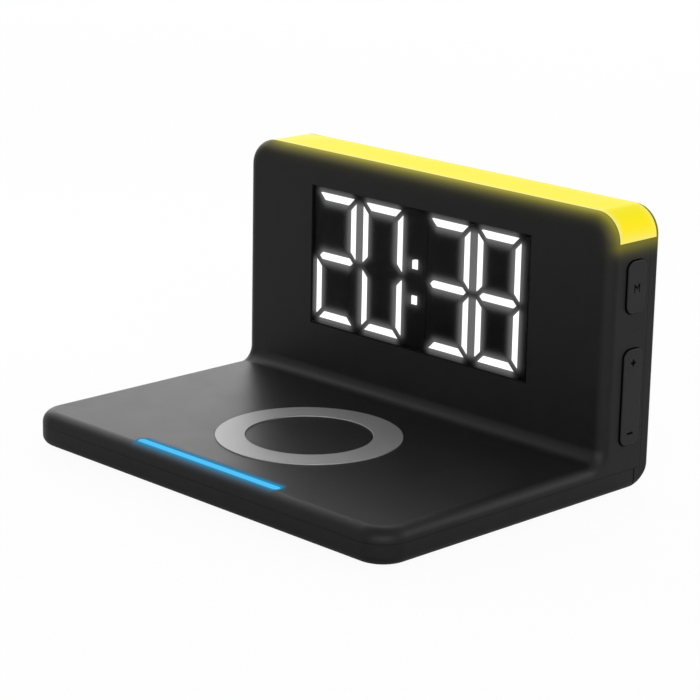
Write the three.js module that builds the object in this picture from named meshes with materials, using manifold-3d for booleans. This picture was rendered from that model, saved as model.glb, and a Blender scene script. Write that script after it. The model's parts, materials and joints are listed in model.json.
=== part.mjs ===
// Bedside clock with a wireless charging pad: an L shaped body of moulded shells, an LED display behind a
// smoked lens, a light bar over the top, a charging coil under the pad and sprung buttons on the right side.
// Millimetres, +Z up, front towards -Y, standing on its feet at z = 0.
import * as THREE from 'three';
import { mergeVertices } from 'three/addons/utils/BufferGeometryUtils.js';
import Module from 'manifold-3d';

const wasm = await Module();
wasm.setup();

// Body, without feet and buttons
const WIDTH = 160;
const DEPTH = 117;
const BODY_HEIGHT = 88.2;
const PAD_THICKNESS = 11.1;
const HEAD_DEPTH = 23;
const WALL = 2;

// Rounded edges and bends
const EDGE_RADIUS = 4;
const BASE_EDGE_RADIUS = 3;
const PAD_CORNER_RADIUS = 9.8;
const HEAD_CORNER_RADIUS = 9;
const INNER_BEND_RADIUS = 4.5;
const REAR_BEND_RADIUS = 7.4;
const REAR_EDGE_RADIUS = 1.6;
const LEAST_RADIUS = 0.4;
const EDGE_STEPS = 3;
const CORNER_STEPS = 5;
const REAR_BEND_STEPS = 5;

// Seams between the shells, and the clearance round a fitted piece
const SEAM_GAP = 0.3;
const FIT = 0.3;
const BASE_SEAM_HEIGHT = 6.6;
const BASE_SEAM_SETBACK = 7.2;
const REAR_SEAM_SETBACK = 4.2;

// Light bar over the top of the head
const BAR_FRONT_SETBACK = 4.2;
const BAR_REAR_SETBACK = 1.9;
const BAR_BOARD_DEPTH = 9;
const BAR_BOARD_DROP = 4.4;
const BAR_BOARD_END_MARGIN = 18;
const BAR_SHELF_WIDTH = 3;
const BAR_SHELF_THICKNESS = 1.4;
const BAR_SHELF_SPREAD = 104;
const BAR_LED_COUNT = 5;
const BAR_LED_SIZE = 5;
const BAR_LED_HEIGHT = 1.5;

// Display window
const WINDOW_SIDE_MARGIN = 31.5;
const WINDOW_HEIGHT = 47.2;
const WINDOW_TOP_MARGIN = 11.1;
const LENS_RECESS = 0.2;
const LENS_THICKNESS = 0.7;
const LENS_LEDGE = 1;
const MASK_LAP = 1.5;
const MASK_BODY_DEPTH = 3;

// Seven segment digits
const DIGITS_MARGIN = 3.4;
const DIGIT_HEIGHT = 42.6;
const DIGIT_SPACE = 3.4;
const COLON_SPACE = 11.4;
const DIGITS_SHIFT = -1.6;
const SEGMENT_THICKNESS = 2.2;
const SEGMENT_GAP = 1.4;
const SEGMENT_SETBACK = 0.2;
const DIGIT_WEB = 1;
const DIGIT_WEB_MARGIN = 0.8;
const COLON_DOT_WIDTH = 2.7;
const COLON_DOT_HEIGHT = 3;
const COLON_SPREAD = 12;
const COLON_DROP = 1.1;

// Circuit boards and their small screws
const POST_SIDES = 10;
const BOARD = 1.6;
const BOARD_POST_RADIUS = 2.6;
const BOARD_SCREW_RADIUS = 1;
const BOARD_SCREW_HEAD_RADIUS = 2;
const BOARD_SCREW_HEAD = 1.3;
const BOARD_SCREW_LENGTH = 4.4;
const CLOCK_POST_INSET = 5;

// Grip ring, charging coil and ferrite sheet
const RING_OUTER_RADIUS = 29.5;
const RING_INNER_RADIUS = 20.1;
const RING_FROM_FRONT = 47.8;
const RING_SEAT_DEPTH = 0.8;
const RING_PROUD = 0.3;
const RING_SIDES = 40;
const COIL_INNER_RADIUS = 10;
const COIL_TURNS = 5;
const COIL_PITCH = 2.2;
const COIL_WIRE = 1.7;
const COIL_STEPS = 24;
const COIL_SIDES = 6;
const COIL_LEAD_LAP = 3;
const FERRITE_MARGIN = 2.5;
const FERRITE_THICKNESS = 0.8;
const FERRITE_POSTS = 4;
const FERRITE_POST_RADIUS = 2.5;

// Blue indicator along the front of the pad
const INDICATOR_LENGTH = 64;
const INDICATOR_WIDTH = 3.4;
const INDICATOR_FROM_FRONT = 5.4;
const INDICATOR_TAB = 2;
const INDICATOR_TAB_WIDTH = 2;
const INDICATOR_TAB_THICKNESS = 1;
const INDICATOR_LED_COUNT = 3;
const INDICATOR_LED_SIZE = 3;
const INDICATOR_LED_HEIGHT = 1;
const INDICATOR_BOARD = 1.2;
const INDICATOR_BOARD_WIDTH = 6;

// Buttons on the right side
const BUTTON_FROM_REAR = 10.8;
const BUTTON_WIDTH = 8.5;
const BUTTON_CORNER_RADIUS = 2.8;
const BUTTON_PROUD = 0.7;
const BUTTON_FLANGE = 1;
const BUTTON_FLANGE_LAP = 1.2;
const BUTTON_STEM_RADIUS = 1.6;
const BUTTON_BAR_SPACE = 5.9;
const BUTTON_SPACE = 11.25;
const MODE_LENGTH = 16.4;
const ROCKER_PAD_SPACE = 4.05;
const ROCKER_CAP = 3.4;
const ROCKER_HUB_RADIUS = 2.4;
const ROCKER_HUB_WIDTH = 3.2;
const ROCKER_PIN_RADIUS = 1;
const ROCKER_EAR = 1.2;
const ROCKER_EAR_EDGE = 0.6;
const ROCKER_SWING_GAP = 0.4;
const ROCKER_STEM_MARGIN = 4.05;

// Push switches on the button board
const SWITCH_SIZE = 6;
const SWITCH_HEIGHT = 3.4;
const PLUNGER_RADIUS = 1.4;
const PLUNGER_REACH = 0.9;
const PLUNGER_LENGTH = 2.6;
const PLUNGER_BORE_DEPTH = 2.4;
const PRESS_GAP = 0.2;
const BUTTON_BOARD_GAP = 6.4;
const BUTTON_BOARD_WIDTH = 9;
const BUTTON_POST_SPACE = 4;

// Feet and the screws of the two covers
const FOOT_RADIUS = 6;
const FOOT_SIDES = 20;
const FOOT_PROUD = 0.8;
const FOOT_SEAT_DEPTH = 1.2;
const FOOT_CHAMFER = 0.4;
const FOOT_SIDE_MARGIN = 14;
const FOOT_FRONT_MARGIN = 14;
const FOOT_REAR_MARGIN = 21;
const SCREW_RADIUS = 1.4;
const SCREW_HEAD_RADIUS = 2.6;
const SCREW_HEAD = 1.8;
const SCREW_SUNK = 0.5;
const SCREW_SEAT = 1.6;
const SCREW_POST_RADIUS = 3.4;
const SCREW_SIDES = 8;
const CROSS_WIDTH = 0.7;
const CROSS_DEPTH = 0.9;
const BASE_SCREW_SIDE_MARGIN = 30;
const BASE_SCREW_FRONT_MARGIN = 19;
const BASE_SCREW_HEAD_SPACE = 6;
const BASE_SCREW_LENGTH = 5;
const REAR_SCREW_SIDE_MARGIN = 17.5;
const REAR_SCREW_LOW = 20;
const REAR_SCREW_TOP_MARGIN = 17;
const REAR_SCREW_LENGTH = 9;

// Charger board, power socket, beeper and ribbon
const CHARGER_BOARD_WIDTH = 70;
const CHARGER_BOARD_HEIGHT = 5.3;
const CHARGER_BOARD_REAR_SPACE = 1;
const CHARGER_COIL_SPACE = 2;
const CHARGER_POST_INSET = 5;
const SOCKET_WIDTH = 9;
const SOCKET_HEIGHT = 3.2;
const SOCKET_SHELL = 0.35;
const SOCKET_BACK = 1;
const SOCKET_LENGTH = 8.4;
const SOCKET_SUNK = 0.5;
const TONGUE_WIDTH = 6.6;
const TONGUE_THICKNESS = 0.7;
const TONGUE_LENGTH = 4.5;
const BUZZER_RADIUS = 6;
const BUZZER_HEIGHT = 6;
const BUZZER_HOLE_RADIUS = 1;
const BUZZER_SIDE = -20;
const RIBBON_WIDTH = 10;
const RIBBON_THICKNESS = 0.6;
const RIBBON_LAP = 5;
const RIBBON_SIDE = 18;

// Planes that follow from the sizes above
const SIDE = WIDTH / 2;
const FRONT = -DEPTH / 2;
const REAR = DEPTH / 2;
const BASE = FOOT_PROUD;
const TOP = BASE + BODY_HEIGHT;
const PAD_TOP = BASE + PAD_THICKNESS;
const DECK_UNDERSIDE = PAD_TOP - WALL;
const FLOOR = BASE + WALL;
const HEAD_FRONT = REAR - HEAD_DEPTH;
const HEAD_INSIDE = HEAD_FRONT + WALL;
const SIDE_INSIDE = SIDE - WALL;
const BASE_SEAM = BASE + BASE_SEAM_HEIGHT;
const BASE_SEAM_Y = REAR - BASE_SEAM_SETBACK;
const REAR_SEAM_Y = REAR - REAR_SEAM_SETBACK;
const BAR_FRONT = HEAD_FRONT + BAR_FRONT_SETBACK;
const BAR_REAR = REAR - BAR_REAR_SETBACK;
const BAR_END = TOP - HEAD_CORNER_RADIUS;
const WINDOW_WIDTH = WIDTH - 2 * WINDOW_SIDE_MARGIN;
const WINDOW_HIGH = TOP - WINDOW_TOP_MARGIN;
const WINDOW_LOW = WINDOW_HIGH - WINDOW_HEIGHT;
const WINDOW_MIDDLE = (WINDOW_LOW + WINDOW_HIGH) / 2;
const DIGIT_WIDTH = (WINDOW_WIDTH - 2 * DIGITS_MARGIN - 2 * DIGIT_SPACE - COLON_SPACE) / 4;
const LENS_SEAT = HEAD_FRONT + LENS_RECESS + LENS_THICKNESS;
const MASK_BACK = HEAD_INSIDE + MASK_BODY_DEPTH;
const CLOCK_BOARD_FRONT = MASK_BACK + DIGIT_WEB;
const RING_Y = FRONT + RING_FROM_FRONT;
const INDICATOR_Y = FRONT + INDICATOR_FROM_FRONT;
const BUTTON_Y = REAR - BUTTON_FROM_REAR;
const MODE_Z = BAR_END - BUTTON_BAR_SPACE - MODE_LENGTH / 2;
const MODE_LOW = MODE_Z - MODE_LENGTH / 2;
const ROCKER_HIGH = MODE_LOW - BUTTON_SPACE;
const ROCKER_LOW = PAD_TOP + ROCKER_PAD_SPACE;
const ROCKER_LENGTH = ROCKER_HIGH - ROCKER_LOW;
const ROCKER_Z = (ROCKER_LOW + ROCKER_HIGH) / 2;
const ROCKER_STEM_SPREAD = ROCKER_LENGTH - 2 * ROCKER_STEM_MARGIN;
const BUTTON_FACE = SIDE + BUTTON_PROUD;
const BUTTON_BOARD_FACE = SIDE_INSIDE - BUTTON_BOARD_GAP;
const SWITCH_FACE = BUTTON_BOARD_FACE + SWITCH_HEIGHT;
const PLUNGER_TIP = SWITCH_FACE + PLUNGER_REACH;
const STEM_END = PLUNGER_TIP + PRESS_GAP;
const ROCKER_CAP_BACK = BUTTON_FACE - ROCKER_CAP;
const ROCKER_EAR_END = ROCKER_CAP_BACK - ROCKER_SWING_GAP;
const ROCKER_PIN_X = ROCKER_EAR_END - ROCKER_EAR_EDGE - FIT - ROCKER_PIN_RADIUS;
const COIL_OUTER_RADIUS = COIL_INNER_RADIUS + COIL_TURNS * COIL_PITCH;
const COIL_Z = DECK_UNDERSIDE - FIT - COIL_WIRE / 2;
const FERRITE_TOP = COIL_Z - COIL_WIRE / 2 - FIT;
const FERRITE_LOW = FERRITE_TOP - FERRITE_THICKNESS;
const FERRITE_RADIUS = COIL_OUTER_RADIUS + FERRITE_MARGIN;
const CHARGER_BOARD_LOW = BASE + CHARGER_BOARD_HEIGHT;
const CHARGER_BOARD_TOP = CHARGER_BOARD_LOW + BOARD;
const CHARGER_BOARD_FRONT = RING_Y + FERRITE_RADIUS + CHARGER_COIL_SPACE;
const SCREW_SEAT_Z = BASE + SCREW_SUNK + SCREW_HEAD;
const BASE_POST_END = SCREW_SEAT_Z + SCREW_SEAT;
const SCREW_SEAT_Y = REAR - SCREW_SUNK - SCREW_HEAD;
const REAR_POST_END = SCREW_SEAT_Y - SCREW_SEAT;
const BEYOND = WIDTH + DEPTH + BODY_HEIGHT;

// Finishes
const plastic = (color, roughness) => new THREE.MeshStandardMaterial({ color, roughness, metalness: 0 });
const metal = (color, roughness) => new THREE.MeshStandardMaterial({ color, roughness, metalness: 1 });
const lit = (color) => new THREE.MeshStandardMaterial({ color, roughness: 0.4, emissive: color });
const BLACK_SHELL = plastic(0x1b1b1c, 0.45);
const BLACK_BUTTON = plastic(0x202021, 0.5);
const SMOKED_LENS = plastic(0x0a0a0b, 0.15);
const BLACK_MASK = plastic(0x101010, 0.8);
const GREY_GRIP = plastic(0x8f9092, 0.7);
const BLACK_RUBBER = plastic(0x141414, 0.9);
const WHITE_LIGHT = lit(0xf4f6ff);
const YELLOW_LIGHT = lit(0xffe838);
const BLUE_LIGHT = lit(0x2aa4ff);
const GREEN_BOARD = plastic(0x1d5a36, 0.55);
const LED_WHITE = plastic(0xe8e4d0, 0.4);
const STEEL = metal(0xb9bcc0, 0.35);
const COPPER = metal(0xb8693a, 0.35);
const FERRITE = plastic(0x3a3634, 0.85);
const RIBBON_GREY = plastic(0xc9c9c6, 0.6);

// Shares of a quarter turn, from 0 to a right angle
function quarterTurn(steps) {
  return Array.from({ length: steps + 1 }, (_, step) => (Math.PI / 2) * (step / steps));
}

// A point from two coordinates across an axis and one along it
function pointAt(axis, across, up, along) {
  if (axis === 'x') return new THREE.Vector3(along, across, up);
  if (axis === 'y') return new THREE.Vector3(across, along, up);
  return new THREE.Vector3(across, up, along);
}

// A closed mesh as a solid that can be joined and cut
function solidOf(geometry) {
  const bare = geometry.clone();
  bare.deleteAttribute('normal');
  bare.deleteAttribute('uv');
  const merged = mergeVertices(bare);
  const corners = Array.from(merged.index.array);
  const triVerts = [];
  for (let first = 0; first < corners.length; first += 3) {
    const [a, b, c] = corners.slice(first, first + 3);
    if (a !== b && b !== c && c !== a) triVerts.push(a, b, c);
  }
  const vertProperties = new Float32Array(merged.attributes.position.array);
  const mesh = new wasm.Mesh({ numProp: 3, vertProperties, triVerts: new Uint32Array(triVerts) });
  return new wasm.Manifold(mesh);
}

// A solid as a three.js geometry
function geometryOf(solid) {
  const { vertProperties, triVerts } = solid.getMesh();
  const geometry = new THREE.BufferGeometry();
  geometry.setAttribute('position', new THREE.BufferAttribute(vertProperties, 3));
  geometry.setIndex(new THREE.BufferAttribute(triVerts, 1));
  geometry.computeVertexNormals();
  return geometry;
}

// A closed skin over rings of equally many points, with flat ends
function skinOver(rings, endFaces, mirrored) {
  const count = rings[0].length;
  const positions = rings.flat().flatMap((point) => point.toArray());
  const triangles = [];
  for (let ring = 0; ring + 1 < rings.length; ring += 1) {
    for (let here = 0; here < count; here += 1) {
      const next = (here + 1) % count;
      const low = ring * count;
      const high = low + count;
      triangles.push([low + here, low + next, high + next], [low + here, high + next, high + here]);
    }
  }
  const last = (rings.length - 1) * count;
  endFaces.forEach(([a, b, c]) => triangles.push([a, c, b], [last + a, last + b, last + c]));
  const turned = mirrored ? triangles.map(([a, b, c]) => [a, c, b]) : triangles;
  const geometry = new THREE.BufferGeometry();
  geometry.setAttribute('position', new THREE.Float32BufferAttribute(positions, 3));
  geometry.setIndex(turned.flat());
  return solidOf(geometry);
}

// A solid through outlines of equally many points, stationed along an axis
function loft(axis, stations) {
  const clockwise = THREE.ShapeUtils.area(stations[0].outline) < 0;
  const outlines = stations.map(({ outline }) => (clockwise ? [...outline].reverse() : outline));
  const rings = outlines.map((outline, index) =>
    outline.map((point) => pointAt(axis, point.x, point.y, stations[index].at)));
  return skinOver(rings, THREE.ShapeUtils.triangulateShape(outlines[0], []), axis === 'y');
}

// A straight bar with the given outline
function prism(axis, outline, from, to) {
  const distinct = outline.filter((point, index) =>
    point.distanceTo(outline[(index + 1) % outline.length]) > FIT / 100);
  return loft(axis, [{ at: from, outline: distinct }, { at: to, outline: distinct }]);
}

// A rectangle whose four corners, from low left and anticlockwise, have the given radii
function roundedOutline([left, right], [low, high], radii, steps = CORNER_STEPS) {
  const corners = [[left, low, 1, 1], [right, low, -1, 1], [right, high, -1, -1], [left, high, 1, -1]];
  return corners.flatMap(([across, up, inward, upward], index) => {
    const radius = radii[index];
    if (radius === 0) return [new THREE.Vector2(across, up)];
    const start = Math.PI * (1 + index / 2);
    return quarterTurn(steps).map((turn) => new THREE.Vector2(
      across + radius * (inward + Math.cos(start + turn)),
      up + radius * (upward + Math.sin(start + turn)),
    ));
  });
}

// An outline with round ends
function pillOutline(across, up, width, height) {
  const radius = Math.min(width, height) / 2;
  return roundedOutline(
    [across - width / 2, across + width / 2],
    [up - height / 2, up + height / 2],
    [radius, radius, radius, radius],
  );
}

// Outline of a side button, moved outwards all round by the given amount
function buttonOutline(up, length, grow) {
  const radius = BUTTON_CORNER_RADIUS + grow;
  return roundedOutline(
    [BUTTON_Y - BUTTON_WIDTH / 2 - grow, BUTTON_Y + BUTTON_WIDTH / 2 + grow],
    [up - length / 2 - grow, up + length / 2 + grow],
    [radius, radius, radius, radius],
  );
}

// A box between two limits along each axis
function block([left, right], [near, far], [low, high]) {
  const geometry = new THREE.BoxGeometry(right - left, far - near, high - low);
  geometry.translate((left + right) / 2, (near + far) / 2, (low + high) / 2);
  return solidOf(geometry);
}

// A round bar along an axis, centred on two coordinates across it
function rod(axis, [across, up], radius, [from, to], sides = POST_SIDES) {
  const geometry = new THREE.CylinderGeometry(radius, radius, to - from, sides);
  if (axis === 'x') geometry.rotateZ(-Math.PI / 2);
  if (axis === 'z') geometry.rotateX(Math.PI / 2);
  const centre = pointAt(axis, across, up, (from + to) / 2);
  geometry.translate(centre.x, centre.y, centre.z);
  return solidOf(geometry);
}

// A turned piece about the Z axis, from a profile of radius and height
function turned(profile, sides) {
  const geometry = new THREE.LatheGeometry(profile.map(([radius, z]) => new THREE.Vector2(radius, z)), sides);
  geometry.rotateX(Math.PI / 2);
  return solidOf(geometry);
}

const joined = (pieces) => pieces.reduce((sum, piece) => sum.add(piece));
const cutBy = (solid, tools) => tools.reduce((left, tool) => left.subtract(tool), solid);
const bothSides = (place) => [-1, 1].map((hand) => place(hand));

// Places at the middles of equal shares of a length centred on zero
function spacedPlaces(count, length) {
  return Array.from({ length: count }, (_, index) => length * ((index + 0.5) / count - 0.5));
}

// The four corners of a rectangle of places
function corners(xs, ys) {
  return xs.flatMap((x) => ys.map((y) => [x, y]));
}

const clock = new THREE.Group();

// A named piece of the clock, placed in its frame
function addPiece(name, solid, finish, position = [0, 0, 0], turn = [0, 0, 0]) {
  const piece = new THREE.Mesh(geometryOf(solid), finish);
  piece.name = name;
  piece.position.set(...position);
  piece.rotation.set(...turn);
  clock.add(piece);
}

// Pad part of the body, with rounded front corners and top and base edges
function padSolid(inset) {
  const edge = Math.max(EDGE_RADIUS - inset, LEAST_RADIUS);
  const base = Math.max(BASE_EDGE_RADIUS - inset, LEAST_RADIUS);
  const rear = HEAD_FRONT + EDGE_RADIUS + WALL;
  const station = (shrink, at) => {
    const side = SIDE - inset - shrink;
    const corner = Math.max(PAD_CORNER_RADIUS - inset - shrink, LEAST_RADIUS);
    const outline = roundedOutline([-side, side], [FRONT + inset + shrink, rear], [corner, corner, 0, 0]);
    return { at, outline };
  };
  return loft('z', [
    ...quarterTurn(EDGE_STEPS).map((turn) =>
      station(base * (1 - Math.sin(turn)), BASE + inset + base * (1 - Math.cos(turn)))),
    ...quarterTurn(EDGE_STEPS).map((turn) =>
      station(edge * (1 - Math.cos(turn)), PAD_TOP - inset - edge * (1 - Math.sin(turn)))),
  ]);
}

// Distance that a round edge falls back, where it starts a given way before its end
const fallBack = (radius, past) => radius - Math.sqrt(Math.max(radius ** 2 - Math.max(past, 0) ** 2, 0));

// Head part of the body, with its front edge, its top corners and the bend at the rear of the base
function headSolid(inset) {
  const edge = Math.max(EDGE_RADIUS - inset, LEAST_RADIUS);
  const base = Math.max(BASE_EDGE_RADIUS - inset, LEAST_RADIUS);
  const bend = Math.max(REAR_BEND_RADIUS - inset, LEAST_RADIUS);
  const rim = Math.max(REAR_EDGE_RADIUS - inset, LEAST_RADIUS);
  const front = HEAD_FRONT + inset;
  const rear = REAR - inset;
  const station = (at, shrink) => {
    const side = SIDE - inset - shrink;
    const corner = Math.max(HEAD_CORNER_RADIUS - inset - shrink, LEAST_RADIUS);
    const low = BASE + inset + fallBack(bend, at - rear + bend);
    const high = TOP - inset - shrink;
    return { at, outline: roundedOutline([-side, side], [low, high], [base, base, corner, corner]) };
  };
  const rearPlaces = [
    ...quarterTurn(REAR_BEND_STEPS).map((turn) => rear - bend + bend * Math.sin(turn)),
    ...quarterTurn(EDGE_STEPS).slice(0, -1).map((turn) => rear - rim + rim * Math.sin(turn)),
  ].sort((a, b) => a - b);
  return loft('y', [
    ...quarterTurn(EDGE_STEPS).map((turn) =>
      station(front + edge * (1 - Math.cos(turn)), edge * (1 - Math.sin(turn)))),
    ...rearPlaces.map((at) => station(at, fallBack(rim, at - rear + rim))),
  ]);
}

// Hollow bend between the pad and the head, with the edge rounding carried round it
function innerBendSolid(inset) {
  const edge = Math.max(EDGE_RADIUS - inset, LEAST_RADIUS);
  const side = SIDE - inset;
  const centre = new THREE.Vector2(HEAD_FRONT - INNER_BEND_RADIUS, PAD_TOP + INNER_BEND_RADIUS);
  const reach = INNER_BEND_RADIUS + EDGE_RADIUS + WALL / 2;
  const outlineAt = (depth) => [
    ...quarterTurn(EDGE_STEPS).map((turn) => {
      const radius = INNER_BEND_RADIUS + inset + depth;
      return new THREE.Vector2(centre.x + radius * Math.sin(turn), centre.y - radius * Math.cos(turn));
    }),
    new THREE.Vector2(centre.x + reach, centre.y),
    new THREE.Vector2(centre.x + reach, centre.y - reach),
    new THREE.Vector2(centre.x, centre.y - reach),
  ];
  const rightEnd = quarterTurn(EDGE_STEPS).map((turn) => ({
    at: side - edge * (1 - Math.sin(turn)),
    outline: outlineAt(edge * (1 - Math.cos(turn))),
  }));
  const leftEnd = rightEnd.map(({ at, outline }) => ({ at: -at, outline })).reverse();
  return loft('x', [...leftEnd, ...rightEnd]);
}

// The whole L shaped body, set in from its surface by the given amount
function bodySolid(inset) {
  return joined([padSolid(inset), headSolid(inset), innerBendSolid(inset)]);
}

const shell = bodySolid(0).subtract(bodySolid(WALL));
const all = [-BEYOND, BEYOND];
const above = (z) => block(all, all, [z, BEYOND]);
const behind = (y) => block(all, [y, BEYOND], all);

// Places of the screws, feet and posts
const baseScrewPlaces = corners(
  bothSides((hand) => hand * (SIDE - BASE_SCREW_SIDE_MARGIN)),
  [FRONT + BASE_SCREW_FRONT_MARGIN, HEAD_FRONT - BASE_SCREW_HEAD_SPACE],
);
const rearScrewPlaces = corners(
  bothSides((hand) => hand * (SIDE - REAR_SCREW_SIDE_MARGIN)),
  [BASE + REAR_SCREW_LOW, TOP - REAR_SCREW_TOP_MARGIN],
);
const footPlaces = corners(
  bothSides((hand) => hand * (SIDE - FOOT_SIDE_MARGIN)),
  [FRONT + FOOT_FRONT_MARGIN, REAR - FOOT_REAR_MARGIN],
);
const clockPostX = WINDOW_WIDTH / 2 + MASK_LAP + BOARD_POST_RADIUS + FIT;
const clockPostPlaces = corners(
  bothSides((hand) => hand * clockPostX),
  [WINDOW_LOW + CLOCK_POST_INSET, WINDOW_HIGH - CLOCK_POST_INSET],
);
const buttonPostPlaces = [
  [BUTTON_Y, (ROCKER_HIGH + MODE_LOW) / 2],
  [BUTTON_Y, ROCKER_LOW - BUTTON_POST_SPACE],
];
const barBoardTop = TOP - WALL - BAR_BOARD_DROP;
const barBoardRear = BAR_REAR - FIT - WALL;
const barBoardHalf = SIDE - BAR_BOARD_END_MARGIN;
const barShelfPlaces = bothSides((hand) => (hand * BAR_SHELF_SPREAD) / 2);

// Front housing: pad deck, head front and sides in one moulding, with its posts and shelves
function frontHousing() {
  const moulding = cutBy(shell, [
    block(all, all, [-BEYOND, BASE_SEAM + SEAM_GAP]),
    behind(REAR_SEAM_Y - SEAM_GAP),
    above(BAR_END - SEAM_GAP).intersect(behind(BAR_FRONT - SEAM_GAP)),
  ]);
  const deckJoin = PAD_TOP - WALL / 2;
  const headJoin = HEAD_FRONT + WALL / 2;
  const sideJoin = SIDE - WALL / 2;
  const posts = [
    ...baseScrewPlaces.map((place) => rod('z', place, SCREW_POST_RADIUS, [BASE_POST_END, deckJoin])),
    ...rearScrewPlaces.map((place) => rod('y', place, SCREW_POST_RADIUS, [headJoin, REAR_POST_END])),
    ...clockPostPlaces.map((place) => rod('y', place, BOARD_POST_RADIUS, [headJoin, CLOCK_BOARD_FRONT])),
    ...buttonPostPlaces.map((place) => rod('x', place, BOARD_POST_RADIUS, [BUTTON_BOARD_FACE, sideJoin])),
    ...barShelfPlaces.map((x) => block(
      [x - BAR_SHELF_WIDTH / 2, x + BAR_SHELF_WIDTH / 2],
      [headJoin, barBoardRear],
      [barBoardTop - INDICATOR_BOARD - BAR_SHELF_THICKNESS, barBoardTop - INDICATOR_BOARD],
    )),
  ];
  const screwBore = SCREW_RADIUS + FIT;
  const boardBore = BOARD_SCREW_RADIUS + FIT;
  const baseBoreEnd = SCREW_SEAT_Z + BASE_SCREW_LENGTH + FIT;
  const rearBoreEnd = SCREW_SEAT_Y - REAR_SCREW_LENGTH - FIT;
  const clockBoreEnd = CLOCK_BOARD_FRONT + BOARD - BOARD_SCREW_LENGTH - FIT;
  const buttonBoreEnd = BUTTON_BOARD_FACE - BOARD + BOARD_SCREW_LENGTH + FIT;
  const half = WINDOW_WIDTH / 2;
  const ledgeHalf = half - LENS_LEDGE;
  const buttonHole = (z, length) =>
    prism('x', buttonOutline(z, length, FIT), SIDE_INSIDE - WALL, BEYOND);
  const ringCentre = [0, RING_Y];
  const ringFloor = PAD_TOP - RING_SEAT_DEPTH;
  const ringSeat = rod('z', ringCentre, RING_OUTER_RADIUS + FIT, [ringFloor, BEYOND], RING_SIDES)
    .subtract(rod('z', ringCentre, RING_INNER_RADIUS - FIT, [ringFloor - WALL, BEYOND], RING_SIDES));
  return cutBy(joined([moulding, ...posts]), [
    block([-half, half], [-BEYOND, LENS_SEAT], [WINDOW_LOW, WINDOW_HIGH])
      .subtract(block(all, [-BEYOND, HEAD_FRONT - WALL], all)),
    block(
      [-ledgeHalf, ledgeHalf],
      [HEAD_FRONT, HEAD_INSIDE],
      [WINDOW_LOW + LENS_LEDGE, WINDOW_HIGH - LENS_LEDGE],
    ),
    ringSeat,
    prism('z', pillOutline(0, INDICATOR_Y, INDICATOR_LENGTH + 2 * FIT, INDICATOR_WIDTH + 2 * FIT),
      DECK_UNDERSIDE - WALL, BEYOND),
    buttonHole(MODE_Z, MODE_LENGTH),
    buttonHole(ROCKER_Z, ROCKER_LENGTH),
    ...baseScrewPlaces.map((place) => rod('z', place, screwBore, [BASE, baseBoreEnd], SCREW_SIDES)),
    ...rearScrewPlaces.map((place) => rod('y', place, screwBore, [rearBoreEnd, REAR], SCREW_SIDES)),
    ...clockPostPlaces.map((place) => rod('y', place, boardBore, [clockBoreEnd, REAR], SCREW_SIDES)),
    ...buttonPostPlaces.map((place) => rod('x', place, boardBore, [0, buttonBoreEnd], SCREW_SIDES)),
  ]);
}

// Rear cover: back panel with a shallow rim, bent under to meet the bottom cover
function rearCover() {
  const panel = shell.intersect(joined([
    behind(REAR_SEAM_Y).subtract(above(BAR_END - SEAM_GAP)),
    behind(BAR_REAR + SEAM_GAP),
    behind(BASE_SEAM_Y + SEAM_GAP).subtract(above(BASE_SEAM)),
  ]));
  const seats = rearScrewPlaces.map((place) =>
    rod('y', place, SCREW_POST_RADIUS, [REAR_POST_END, REAR - WALL / 2]));
  const port = prism(
    'y',
    pillOutline(0, CHARGER_BOARD_TOP + SOCKET_HEIGHT / 2, SOCKET_WIDTH + 2 * FIT, SOCKET_HEIGHT + 2 * FIT),
    BASE_SEAM_Y,
    BEYOND,
  );
  return cutBy(joined([panel, ...seats]), [
    port,
    ...rearScrewPlaces.map((place) =>
      rod('y', place, SCREW_HEAD_RADIUS + FIT, [SCREW_SEAT_Y, BEYOND], SCREW_SIDES)),
    ...rearScrewPlaces.map((place) =>
      rod('y', place, SCREW_RADIUS + FIT, [HEAD_FRONT, BEYOND], SCREW_SIDES)),
  ]);
}

// Charger board in the base, from behind the coil to just short of the rear bend
const innerBend = Math.max(REAR_BEND_RADIUS - WALL, LEAST_RADIUS);
const chargerBoardRear = REAR - WALL - CHARGER_BOARD_REAR_SPACE
  - fallBack(innerBend, innerBend - (CHARGER_BOARD_LOW - FLOOR));
const chargerPostPlaces = corners(
  bothSides((hand) => hand * (CHARGER_BOARD_WIDTH / 2 - CHARGER_POST_INSET)),
  [CHARGER_BOARD_FRONT + CHARGER_POST_INSET, BASE_SEAM_Y - CHARGER_POST_INSET],
);
const indicatorPipeLow = DECK_UNDERSIDE - INDICATOR_TAB_THICKNESS;
const indicatorBoardTop = indicatorPipeLow - FIT - INDICATOR_LED_HEIGHT;
const indicatorBoardLow = indicatorBoardTop - INDICATOR_BOARD;
const indicatorPostX = INDICATOR_LENGTH / 2 - BOARD_POST_RADIUS;

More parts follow.
